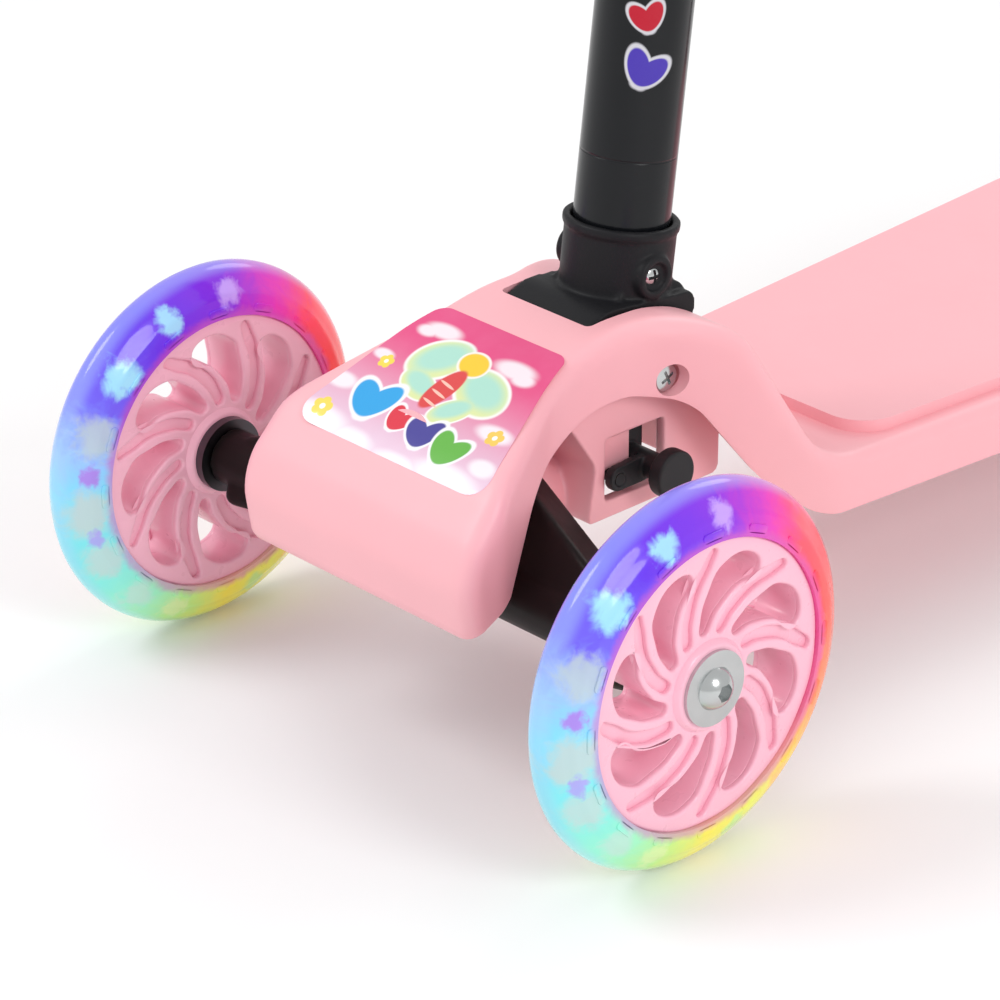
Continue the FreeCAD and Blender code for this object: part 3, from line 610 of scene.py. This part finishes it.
def lift(made, half_width_mm, near, far, floor):
    """Raise a piece's underside to the floor height between two places along the deck."""
    low, high = place(-half_width_mm, near, floor), place(half_width_mm, far, floor)
    for vert in made.data.vertices:
        if low[0] < vert.co.x < high[0] and low[1] < vert.co.y < high[1] and vert.co.z < low[2]:
            vert.co.z = low[2]


# ---------------------------------------------------------------- hood and deck
WALL = 4.0
DECK_TOP, DECK_BOTTOM, DECK_END = 68.0, 50.0, 408.0
TOP_LINE = [(-30.5, 57.5, 2), (-34.6, 82, 22), (-16, 103, 30), (34, 127, 90), (75, 125.5, 50),
            (94, 116, 20), (117, 73.5, 15), (127, DECK_TOP, 22)]
ARCH_LINE = [(118, DECK_BOTTOM, 20), (99, 65, 60), (75, 98, 22), (45, 107, 35), (8, 93, 30), (-12, 66.5, 1.5)]
HALF_PLAN = [(51.5, -34, 0), (49.8, -17, 12), (30, 24, 45), (29.4, 60, 30), (53, 122, 30),
             (69, 332, 150), (68, 370, 45), (44, DECK_END, 24)]
# matching places on the top line and on the lower edge, and how many stations lie between them
STATIONS = [((-30.5, 57.5), (-12, 66.5), 0), ((-34.2, 78), (-7, 73.5), 9), ((-25, 93), (1, 84), 9),
            ((-14, 104), (12, 95), 7), ((34, 126), (42, 105.5), 18), ((74, 124.5), (70, 98.5), 14),
            ((93, 114), (84, 84), 12), ((106, 94), (93, 73.5), 8), ((117, 75), (104, 60.5), 8),
            ((128, 68), (120, 50), 7), ((140, 68), (140, 50), 5), ((370, 68), (370, 50), 60)]


def arc_places(line):
    """Distance from the line's start to each of its points."""
    places = [0.0]
    for a, b in zip(line, line[1:]):
        places.append(places[-1] + (b - a).length)
    return places


def nearest(line, point):
    return min(range(len(line)), key=lambda i: (line[i] - Vector(point)).length)


def at_place(line, places, place_on):
    for i in range(1, len(places)):
        if place_on <= places[i] or i == len(places) - 1:
            span = places[i] - places[i - 1] or 1.0
            return line[i - 1].lerp(line[i], (place_on - places[i - 1]) / span)


def spread(line, keys):
    """Stations along a line, the given number between each two keys."""
    places = arc_places(line)
    found = [places[nearest(line, key)] for key, _ in keys]
    stations = [at_place(line, places, found[0])]
    for i in range(1, len(keys)):
        for step in range(1, keys[i][1] + 1):
            share = step / keys[i][1]
            stations.append(at_place(line, places, found[i - 1] * (1 - share) + found[i] * share))
    return stations


def cut_loop(points, start, end):
    """The part of a closed loop from the point nearest start to the point nearest end."""
    first = nearest(points, start)
    turned = points[first:] + points[:first]
    last = nearest(turned, end)
    other = [turned[0]] + turned[:last - 1:-1] if last else turned
    ahead = turned[:last + 1]
    return ahead, other


SIDE_LOOP = walk(TOP_LINE + [(DECK_END, DECK_TOP, 0), (DECK_END, DECK_BOTTOM, 0)] + ARCH_LINE, 12)
AHEAD, BEHIND = cut_loop(SIDE_LOOP, (-30.5, 57.5), (DECK_END, DECK_TOP))
TOP_EDGE = AHEAD if max(p.y for p in AHEAD) > 120 else BEHIND
AHEAD, BEHIND = cut_loop(SIDE_LOOP, (-12, 66.5), (DECK_END, DECK_BOTTOM))
LOW_EDGE = BEHIND if max(p.y for p in AHEAD) > 120 else AHEAD
PLAN_LOOP = walk(HALF_PLAN + [(0, DECK_END, 0), (0, -34, 0)], 12)
AHEAD, BEHIND = cut_loop(PLAN_LOOP, (51.5, -34), (0, DECK_END))
PLAN_EDGE = AHEAD if max(p.x for p in AHEAD) > 60 else BEHIND


def half_width(y):
    """Half width of hood and deck at a distance from the front axle."""
    if y <= PLAN_EDGE[0].y:
        return PLAN_EDGE[0].x
    for a, b in zip(PLAN_EDGE, PLAN_EDGE[1:]):
        if a.y <= y <= b.y and b.y > a.y:
            return a.x + (b.x - a.x) * (y - a.y) / (b.y - a.y)
    return PLAN_EDGE[-1].x


def smooth(value, low, high):
    share = min(1.0, max(0.0, (value - low) / (high - low)))
    return share * share * (3 - 2 * share)


def ridge_radius(y):
    return 6.5 - 2.3 * smooth(y, 100, 140)


def hood_rows():
    """For each station: middle of the top, ridge corner, way inward, way down, foot of the side."""
    top = spread(TOP_EDGE, [(key, count) for key, _, count in STATIONS])
    foot = spread(LOW_EDGE, [(key, count) for _, key, count in STATIONS])
    rows = []
    for i, point in enumerate(top):
        before, after = top[max(i - 1, 0)], top[min(i + 1, len(top) - 1)]
        along = (after - before).normalized()
        down = Vector((0, along.y, -along.x))
        rows.append((point, down, foot[i]))
    return rows


def hood_half():
    """Left half of the outer skin of hood and deck, as one sheet."""
    rows = hood_rows()
    plan = [p for p in PLAN_EDGE if p.y >= 369.9]
    turn_places = arc_places(plan)
    fan_count, columns, rounding, legs = 26, 14, 7, 10
    total_rows = len(rows) + fan_count
    total = columns + rounding + legs
    bm = bmesh.new()
    bmesh.ops.create_grid(bm, x_segments=total, y_segments=total_rows - 1, size=1.0)
    for vert in bm.verts:
        col = round((vert.co.x + 1) / 2 * total)
        row = round((vert.co.y + 1) / 2 * (total_rows - 1))
        vert.co = skin_point(rows, plan, turn_places, row, col, fan_count, columns, rounding, legs)
    return bm


def skin_point(rows, plan, turn_places, row, col, fan_count, columns, rounding, legs):
    turn = math.pi / 2 * min(max(col - columns, 0), rounding) / rounding
    sideways, drop = 1 - math.sin(turn), 1 - math.cos(turn)
    leg = max(col - columns - rounding, 0) / legs
    across = min(col / columns, 1.0)
    if row < len(rows):
        point, down, foot = rows[row]
        radius = ridge_radius(point.x)
        y, z = point.x + down.y * radius * drop, point.y + down.z * radius * drop
        y, z = y + (foot.x - y) * leg, z + (foot.y - z) * leg
        return Vector(((half_width(y) - radius * sideways) * across, y, z))
    share = (row - len(rows) + 1) / fan_count
    edge = at_place(plan, turn_places, turn_places[-1] * share)
    near = at_place(plan, turn_places, max(turn_places[-1] * share - 0.5, 0))
    far = at_place(plan, turn_places, min(turn_places[-1] * share + 0.5, turn_places[-1]))
    along = (far - near).normalized()
    inward = Vector((-along.y, along.x)) if share < 1 else Vector((0, -1))
    radius = ridge_radius(400)
    start = edge + inward * radius
    middle_y = min(start.y, DECK_END - radius) - 0.45 * start.x * smooth(share, 0, 0.6)
    x = start.x * across - inward.x * radius * (1 - sideways)
    y = middle_y + (start.y - middle_y) * across - inward.y * radius * (1 - sideways)
    z = DECK_TOP - radius * drop
    return Vector((max(x, 0.0), y, z + (DECK_BOTTOM - z) * leg))


def make_hood_and_deck():
    half = hood_half()
    whole = join(mirrored(half))
    bmesh.ops.remove_doubles(whole, verts=whole.verts, dist=0.05)
    bmesh.ops.dissolve_degenerate(whole, edges=whole.edges, dist=0.02)
    bmesh.ops.recalc_face_normals(whole, faces=whole.faces)
    top = max(whole.faces, key=lambda face: face.calc_center_median().z)
    if top.normal.z < 0:
        bmesh.ops.reverse_faces(whole, faces=whole.faces)
    skin = new_object("hood_and_deck", whole)
    wall = skin.modifiers.new("wall", "SOLIDIFY")
    wall.thickness, wall.offset = WALL * MM, -1
    edge = skin.modifiers.new("edge", "BEVEL")
    edge.width, edge.segments, edge.limit_method, edge.angle_limit = 1.1 * MM, 3, "ANGLE", math.radians(60)
    bake(skin)
    tread = [(half_width(140) - 8, 140, 14), (61, 332, 120), (60, 366, 38), (42, 388, 14)]
    tread = tread + [(-x, y, radius) for x, y, radius in reversed(tread)]
    bores = mirrored(spun([(22, 0), (22, 5.2), (70, 5.2), (70, 0)], (0, 69, 106), 40, closed=False))
    bores.append(plate([(19.2, 46.5, 2), (19.2, 125, 4), (-19.2, 125, 4), (-19.2, 46.5, 2)],
                       81, 140, FLAT_ON))
    bores.append(plate([(15, 401, 0), (15, 430, 0), (-15, 430, 0), (-15, 401, 0)], 20, 100, FLAT_ON))
    bores.append(plate(tread, DECK_TOP - 0.8, DECK_TOP + 4, FLAT_ON, 10))
    carve(skin, bores)
    parts = []
    for x in (-36, -18, 0, 18, 36):
        parts.append(plate([(122, 60, 0), (398, 60, 0), (398, 65, 0), (122, 65, 0)], x - 1.25, x + 1.25))
    for y in range(148, 400, 36):
        reach = half_width(y) - WALL + 0.5
        parts.append(plate([(y, 60, 0), (y + 2.5, 60, 0), (y + 2.5, 65, 0), (y, 65, 0)], -reach, reach))
    leg = plate([(384, 65.9, 0), (384, 50.5, 0), (426, 30, 14), (459, 27, 12), (459, 53, 12), (440, 56, 20),
                 (418, 65.5, 8)], 15, 29)
    ear = plate([(388, 62, 0), (404, 62, 0), (402, 83, 6), (390, 83, 6)], 24.7, 29)
    parts += mirrored(soften(leg, 1.2, 3)) + mirrored(soften(ear, 0.6))
    kingpin = (0, -math.cos(math.radians(30)), math.sin(math.radians(30)))
    lug = spun([(8.5, 4), (8.5, 13), (30, 13), (30, 4)], (0, 13, 82.5), 40, True, kingpin)
    bmesh.ops.bisect_plane(lug, geom=lug.verts[:] + lug.edges[:] + lug.faces[:], plane_co=(0, -27, 0),
                           plane_no=(0, -1, 0), clear_outer=True)
    parts.append(lug)
    body = bmesh.new()
    body.from_mesh(skin.data)
    extras = join(parts)
    to_frame = Matrix.Translation((0, AXLE_Y, 0)) @ Matrix.Diagonal((MM, MM, MM, 1))
    bmesh.ops.transform(extras, matrix=to_frame, verts=extras.verts)
    spare = bpy.data.meshes.new("spare")
    extras.to_mesh(spare)
    body.from_mesh(spare)
    bpy.data.meshes.remove(spare)
    body.to_mesh(skin.data)
    extras.free()
    body.free()
    return settle(skin, "deck", "pink_deck", ["deck_shell"], 32)


def make_label():
    """Printed sheet lying on the hood in front of the stem, its lower corner slightly lifted."""
    places = arc_places(TOP_EDGE)

    def run_to(y):
        index = next(i for i, p in enumerate(TOP_EDGE) if p.x > y and p.y > 90)
        return places[index]

    low, high = run_to(-27.5), run_to(28.8)
    bm = outline([(44, low, 7), (27, high, 5), (-27, high, 5), (-38.5, low, 6)], 8)
    for step in range(1, 36):
        cut_at = low + (high - low) * step / 36
        bmesh.ops.bisect_plane(bm, geom=bm.verts[:] + bm.edges[:] + bm.faces[:],
                               plane_co=(0, cut_at, 0), plane_no=(0, 1, 0))
    for step in range(-18, 19):
        bmesh.ops.bisect_plane(bm, geom=bm.verts[:] + bm.edges[:] + bm.faces[:],
                               plane_co=(step * 2.2, 0, 0), plane_no=(1, 0, 0))
    for vert in bm.verts:
        x, run = vert.co.x, vert.co.y
        point, ahead = at_place(TOP_EDGE, places, run), at_place(TOP_EDGE, places, run + 0.8)
        along = (ahead - point).normalized()
        corner = math.hypot(x + 38, run - low)
        ripple = 0.05 * math.sin(x * 0.9) * (1 - smooth(run - low, 0, 12))
        raised = 0.12 + 0.9 * (1 - smooth(corner, 0, 14)) + ripple
        vert.co = (x, point.x - along.y * raised, point.y + along.x * raised)
    sheet = new_object("hood_label", bm)
    body = sheet.modifiers.new("thickness", "SOLIDIFY")
    body.thickness, body.offset = 0.12 * MM, -1
    bake(sheet)
    return settle(sheet, "deck", "label", ["hood_sticker"], 50)


# ---------------------------------------------------------------- wheels
def leaf(curve, inner, outer, width, taper, sweep, start):
    """Closed swirl-shaped hole, narrow near the axle and round at the rim, added to a flat curve."""
    inside, side = [], []
    for share in (0.25, 0.55, 0.85):
        radius = inner + (outer - inner) * share
        half = math.degrees(width * (taper + (1 - taper) * share) / radius)
        middle = start + sweep * (share - 0.5)
        inside.append((radius, middle + half))
        side.append((radius, middle - half))
    tip = (inner, start - sweep * 0.5)
    crown = (outer, start + sweep * 0.5)
    spline = curve.splines.new("BEZIER")
    points = [tip] + inside + [crown] + side[::-1]
    spline.bezier_points.add(len(points) - 1)
    for point, (radius, degrees) in zip(spline.bezier_points, points):
        way = math.radians(degrees)
        point.co = (radius * math.cos(way), radius * math.sin(way), 0)
        point.handle_left_type = point.handle_right_type = "AUTO"
    spline.use_cyclic_u = True


def rim_circle(curve, radius):
    spline = curve.splines.new("BEZIER")
    spline.bezier_points.add(11)
    for step, point in enumerate(spline.bezier_points):
        way = math.radians(30 * step)
        point.co = (radius * math.cos(way), radius * math.sin(way), 0)
        point.handle_left_type = point.handle_right_type = "AUTO"
    spline.use_cyclic_u = True


def swirl_disc(rim, hole, low, high, leaves, rounding):
    """Disc with swirl-shaped holes between two depths, its edges rounded, standing on the YZ plane."""
    curve = bpy.data.curves.new("disc", "CURVE")
    curve.dimensions, curve.fill_mode = "2D", "BOTH"
    curve.resolution_u = 10
    rim_circle(curve, rim)
    rim_circle(curve, hole)
    for leaf_shape in leaves:
        leaf(curve, *leaf_shape)
    curve.extrude, curve.bevel_depth, curve.bevel_resolution = (high - low) / 2 - rounding, rounding, 3
    curve.offset = -rounding
    made = bpy.data.objects.new("disc", curve)
    bpy.context.scene.collection.objects.link(made)
    bpy.context.view_layer.update()
    mesh = bpy.data.meshes.new_from_object(made.evaluated_get(bpy.context.evaluated_depsgraph_get()))
    bm = bmesh.new()
    bm.from_mesh(mesh)
    bpy.data.objects.remove(made)
    bpy.data.meshes.remove(mesh)
    bmesh.ops.remove_doubles(bm, verts=bm.verts, dist=0.001)
    bmesh.ops.translate(bm, verts=bm.verts, vec=(0, 0, (low + high) / 2))
    bmesh.ops.transform(bm, matrix=SIDE_ON, verts=bm.verts)
    bmesh.ops.recalc_face_normals(bm, faces=bm.faces)
    return bm


TYRE_SECTION = [(-10.3, 45), (-10.3, 46.4), (-9.7, 48.8), (-8.9, 51.2), (-8.45, 52.5), (-7.7, 53.3),
                (-6.6, 55.1),
                (-5.1, 57.1), (-3.4, 58.8), (-1.6, 59.8), (0, 60)]


def make_wheel(name, centre, hub_edge, tyre_edge, hand, phase):
    """Swirl-spoked hub, tapered clear tyre and lug windows round it."""
    body = name + "_wheel"
    centre = ((centre.x) / MM, (centre.y - AXLE_Y) / MM, centre.z / MM)
    scale = (tyre_edge - hub_edge) / 15
    inner, outer = 16.4, hub_edge - 4.9
    sweep = hand * 1.45 * (outer - inner)
    width = 0.41 * (outer - inner)
    pockets = [(inner, outer, width, 0.12, sweep, phase + 45 * step) for step in range(8)]
    groove_width = 0.8 + 0.075 * (outer - inner)
    grooves = [(inner - 0.6, outer + 2.2, groove_width, 0.8, sweep, phase + 22.5 + 45 * step)
               for step in range(8)]
    parts = [swirl_disc(hub_edge - 0.4, 12, -7.2, 7.2, pockets, 0.3),
             swirl_disc(hub_edge, 12, 6.6, 9.2, pockets + grooves, 0.9),
             swirl_disc(hub_edge, 12, -9.2, -6.6, pockets + grooves, 0.9)]
    barrel = spun([(-8.6, hub_edge - 1.2), (-8.6, hub_edge), (8.6, hub_edge), (8.6, hub_edge - 1.2)],
                  (0, 0, 0), 128)
    boss = spun([(-11, 11.02), (-11, 13.0), (-9.0, 14.6), (9.0, 14.6), (11, 13.0), (11, 11.02)],
                (0, 0, 0), 96)
    parts += [barrel, soften(boss, 0.6, 3, 20)]
    hub = join(parts)
    bmesh.ops.translate(hub, verts=hub.verts, vec=centre)
    settle(new_object(name + "_swirl_hub", hub), body, name + "_hub", [name + "_hub"], 28)

    section = TYRE_SECTION + [(-x, radius) for x, radius in reversed(TYRE_SECTION[:-1])]
    section = [(x, hub_edge + (radius - 45) * scale) for x, radius in section]
    tyre = spun(section, centre, 144)
    settle(new_object(name + "_clear_tyre", tyre), body, name + "_tyre", [name + "_tyre"], 30)

    at = hub_edge + 2.3 * scale
    window = plate([(-4, at - 1.5 * scale, 1.2), (4, at - 1.5 * scale, 1.2), (4, at + 1.5 * scale, 1.2),
                    (-4, at + 1.5 * scale, 1.2)], 9.6, 10.3)
    windows = []
    for one in copies(soften(window, 0.25), 16 if hub_edge > 40 else 12, 22.5 if hub_edge > 40 else 30):
        windows += mirrored(one)
    lugs = join(windows)
    bmesh.ops.translate(lugs, verts=lugs.verts, vec=centre)
    settle(new_object(name + "_lug_windows", lugs), body, name + "_tyre", (), 40)


# ---------------------------------------------------------------- stem, bar and small parts
LEAN = math.radians(7.25)
STEM_UP = Vector((0, math.sin(LEAN), math.cos(LEAN)))
RIM = Vector((0, 79.3, 147))


def make_grips():
    for name, side in (("left_grip", 1), ("right_grip", -1)):
        low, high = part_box(name)
        middle = (Vector(low) + Vector(high)) / 2
        centre = (0, (middle.y - AXLE_Y) / MM, middle.z / MM)
        start, end = 42.2, 139.8
        profile = [(start, 11.1), (start, 19), (start + 1, 20), (start + 4, 20), (start + 5, 19),
                   (start + 5.5, 15.5)]
        at = start + 9
        while at < end - 14:
            profile += [(at, 14.2), (at + 0.7, 15.0), (at + 3.1, 15.0), (at + 3.8, 14.2)]
            at += 5.2
        profile += [(end - 8, 14.4), (end - 6.5, 16.2), (end - 1.2, 16.4), (end, 15.2), (end, 4),
                    (end - 3, 3.4),
                    (end - 3, 0)]
        profile = [(side * x, radius) for x, radius in profile]
        grip = spun(profile, centre, 48, closed=False)
        settle(new_object(name + "_ribbed", grip), "handlebar", "rubber", [name], 40)


def dress_nodes():
    """Finishes of the CAD nodes that stay as they are."""
    for finish, nodes in {
            "zinc": ("fold_pin", "kingpin_bolt", "kingpin_nut", "rear_axle_bolt",
                     "rear_axle_nut", "brake_pin", "axle_bolts", "axle_washers", "socket_screws", "clamp_bolt",
                     "clamp_nut"),
            "dark_steel": ("axle_rings",), "nylon": ("rear_spacers", "slide_bush"),
            "grained": ("centring_pads", "kingpin_bush"), "knob": ("latch_pin",),
            "ground_steel": ("left_bearings", "right_bearings", "rear_bearings"),
            "module": ("left_lights", "right_lights", "rear_lights"),
            "paint": ("lower_tube",), "alloy": ("upper_tube", "cross_bar")}.items():
        for node in nodes:
            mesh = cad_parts[node].data
            mesh.materials.clear()
            mesh.materials.append(FINISHES[finish])


def make_fold_screws():
    """Domed cross-head screws sunk in the hood's sides."""
    head = spun([(25.5, 0), (25.5, 4.7), (29.6, 4.7), (30.2, 4.2), (30.6, 2.4), (30.75, 0)],
                (0, 69, 106), 40, False)
    made = new_object("fold_screw_heads", join(mirrored(head)))
    slots = [plate([(-2.6, -0.55, 0.3), (2.6, -0.55, 0.3), (2.6, 0.55, 0.3), (-2.6, 0.55, 0.3)], 29.4, 32),
             plate([(-0.55, -2.6, 0.3), (0.55, -2.6, 0.3), (0.55, 2.6, 0.3), (-0.55, 2.6, 0.3)], 29.3, 32)]
    for slot in slots:
        bmesh.ops.rotate(slot, cent=(0, 0, 0), matrix=Matrix.Rotation(math.radians(25), 3, "X"),
                         verts=slot.verts)
        bmesh.ops.translate(slot, verts=slot.verts, vec=(0, 69, 106))
        carve(made, mirrored(slot))
    settle(made, "deck", "zinc", ["fold_screws"], 30)


def moulded_together(name, parts, voxel, rounds):
    """Several solids grown into one moulding with soft edges."""
    made = new_object(name, join(parts))
    skin = made.modifiers.new("skin", "REMESH")
    skin.mode, skin.voxel_size = "VOXEL", voxel * MM
    bake(made)
    ease(made, rounds)
    return made


def make_socket():
    """Stem socket: lipped barrel, flat foot in the hood's slot, tongue below, and two screw bosses."""
    barrel = spun([(-38, 15.25), (-38, 17.2), (-3.4, 17.3), (-2.8, 18.0), (-0.6, 18.1), (0, 17.5), (0, 15.9),
                   (-1.2, 15.25)], RIM, 96, True, STEM_UP)
    foot = plate([(47.4, 118.6, 1), (47.4, 124.6, 1), (56, 127.6, 12), (62, 127.2, 12), (92, 124.0, 3),
                  (95, 118, 6), (84, 108, 6), (58, 112, 6)], -18, 18)
    heel = plate([(60, 112, 4), (63, 131, 8), (93, 126, 5), (93, 112, 5)], -14, 14)
    tongue = spun([(-17.9, 0), (-17.9, 15.4), (17.9, 15.4), (17.9, 0)], (0, 69, 106), 64, False)
    boss = spun([(9, 0), (9, 7.4), (17.8, 7.1), (18.7, 6.4), (18.7, 4.5), (15.7, 4.3), (15.7, 0)],
                (0, 76, 133), 48, False)
    made = moulded_together("stem_socket_moulded", [barrel, foot, heel, tongue] + mirrored(boss), 0.6, 2)
    settle(made, "stem", "grained", ["stem_socket"], 60)
    lining = [plate([(49.4, 66.6, 1), (77, 66.6, 1), (77, 90, 1), (49.4, 90, 1)], -22.4, -19.4),
              plate([(50.0, 77.0, 0.5), (62.5, 77.0, 0.5), (62.5, 89.4, 0.5), (50.0, 89.4, 0.5)], 19.3, 21.2)]
    backing = new_object("housing_lining", join([soften(part, 0.4) for part in lining]))
    settle(backing, "deck", "pink", (), 40)


def make_small_parts():
    softened("fold_housing", "deck", "pink", 0.7, 2)
    softened("front_truck", "truck", "truck", 0.8, 3)
    make_socket()
    softened("latch_lever", "fold_latch", "knob", 0.45, 2)
    softened("latch_knob", "fold_latch", "knob", 0.3, 2)
    pedal = softened("brake_pedal", "brake_pedal", "fender", 0.8, 2, narrow=0.97)
    lift(pedal, half_width_mm=20, near=399, far=409.4, floor=73.0)
    softened("clamp_collar", "stem", "grained", 0.7, 2)
    softened("clamp_lever", "clamp_lever", "grained", 0.6, 2)
    softened("tee_fitting", "handlebar", "grained", 0.9, 3)


# ---------------------------------------------------------------- room, lights and camera
SKY_STRENGTH = 0.76
KEY_WATTS, SIDE_WATTS, BACK_WATTS = 12, 8, 4
LENS_MM, SENSOR_MM = 164.16, 36
LAMPS_AIM_AT = (0, 60, 90)


def area_light(name, where, aim, size, watts, colour=(1, 1, 1)):
    lamp = bpy.data.lights.new(name, "AREA")
    lamp.shape, lamp.size, lamp.energy, lamp.color = "DISK", size, watts, colour
    holder = bpy.data.objects.new(name, lamp)
    holder.location = where
    holder.rotation_euler = (Vector(aim) - Vector(where)).to_track_quat("-Z", "Y").to_euler()
    bpy.context.scene.collection.objects.link(holder)


def make_room():
    shop = Shop("pale_floor")
    floor_finish = shop.surface({
        "Base Color": shop.mix(shop.noise(600), (0.93, 0.93, 0.93), (0.95, 0.95, 0.95)),
        "Roughness": 0.9})
    bm = bmesh.new()
    bmesh.ops.create_grid(bm, x_segments=4, y_segments=4, size=6.0)
    floor = new_object("studio_floor", bm, in_mm=False)
    floor.data.materials.append(floor_finish)
    world = bpy.data.worlds.new("studio")
    world.use_nodes = True
    world.node_tree.nodes["Background"].inputs["Color"].default_value = (1, 1, 1, 1)
    world.node_tree.nodes["Background"].inputs["Strength"].default_value = SKY_STRENGTH
    bpy.context.scene.world = world
    bpy.context.scene.view_settings.view_transform = "Standard"
    target = place(*LAMPS_AIM_AT)
    area_light("key_light", target + Vector((-0.9, -1.1, 1.5)), target, 0.9, KEY_WATTS)
    area_light("side_light", target + Vector((1.5, -0.2, 0.9)), target, 0.7, SIDE_WATTS)
    area_light("back_light", target + Vector((-0.3, 1.4, 1.2)), target, 0.8, BACK_WATTS)


def make_camera():
    lens = bpy.data.cameras.new("camera")
    lens.lens, lens.sensor_width, lens.clip_start, lens.clip_end = LENS_MM, SENSOR_MM, 0.05, 30
    camera = bpy.data.objects.new("camera", lens)
    camera.location = place(905.6, -828.0, 676.7)
    aim = place(9.2, 19.7, 74.0) - camera.location
    camera.rotation_euler = aim.to_track_quat("-Z", "Y").to_euler()
    bpy.context.scene.collection.objects.link(camera)
    bpy.context.scene.camera = camera


make_room()
make_camera()
dress_nodes()
make_hood_and_deck()
make_label()
make_wheel("left", LEFT_AXLE, 45, 60, -1, 36)
make_wheel("right", RIGHT_AXLE, 45, 60, 1, 36)
make_wheel("rear", REAR_AXLE, 30, 40, -1, 0)
make_small_parts()
make_fold_screws()
make_grips()
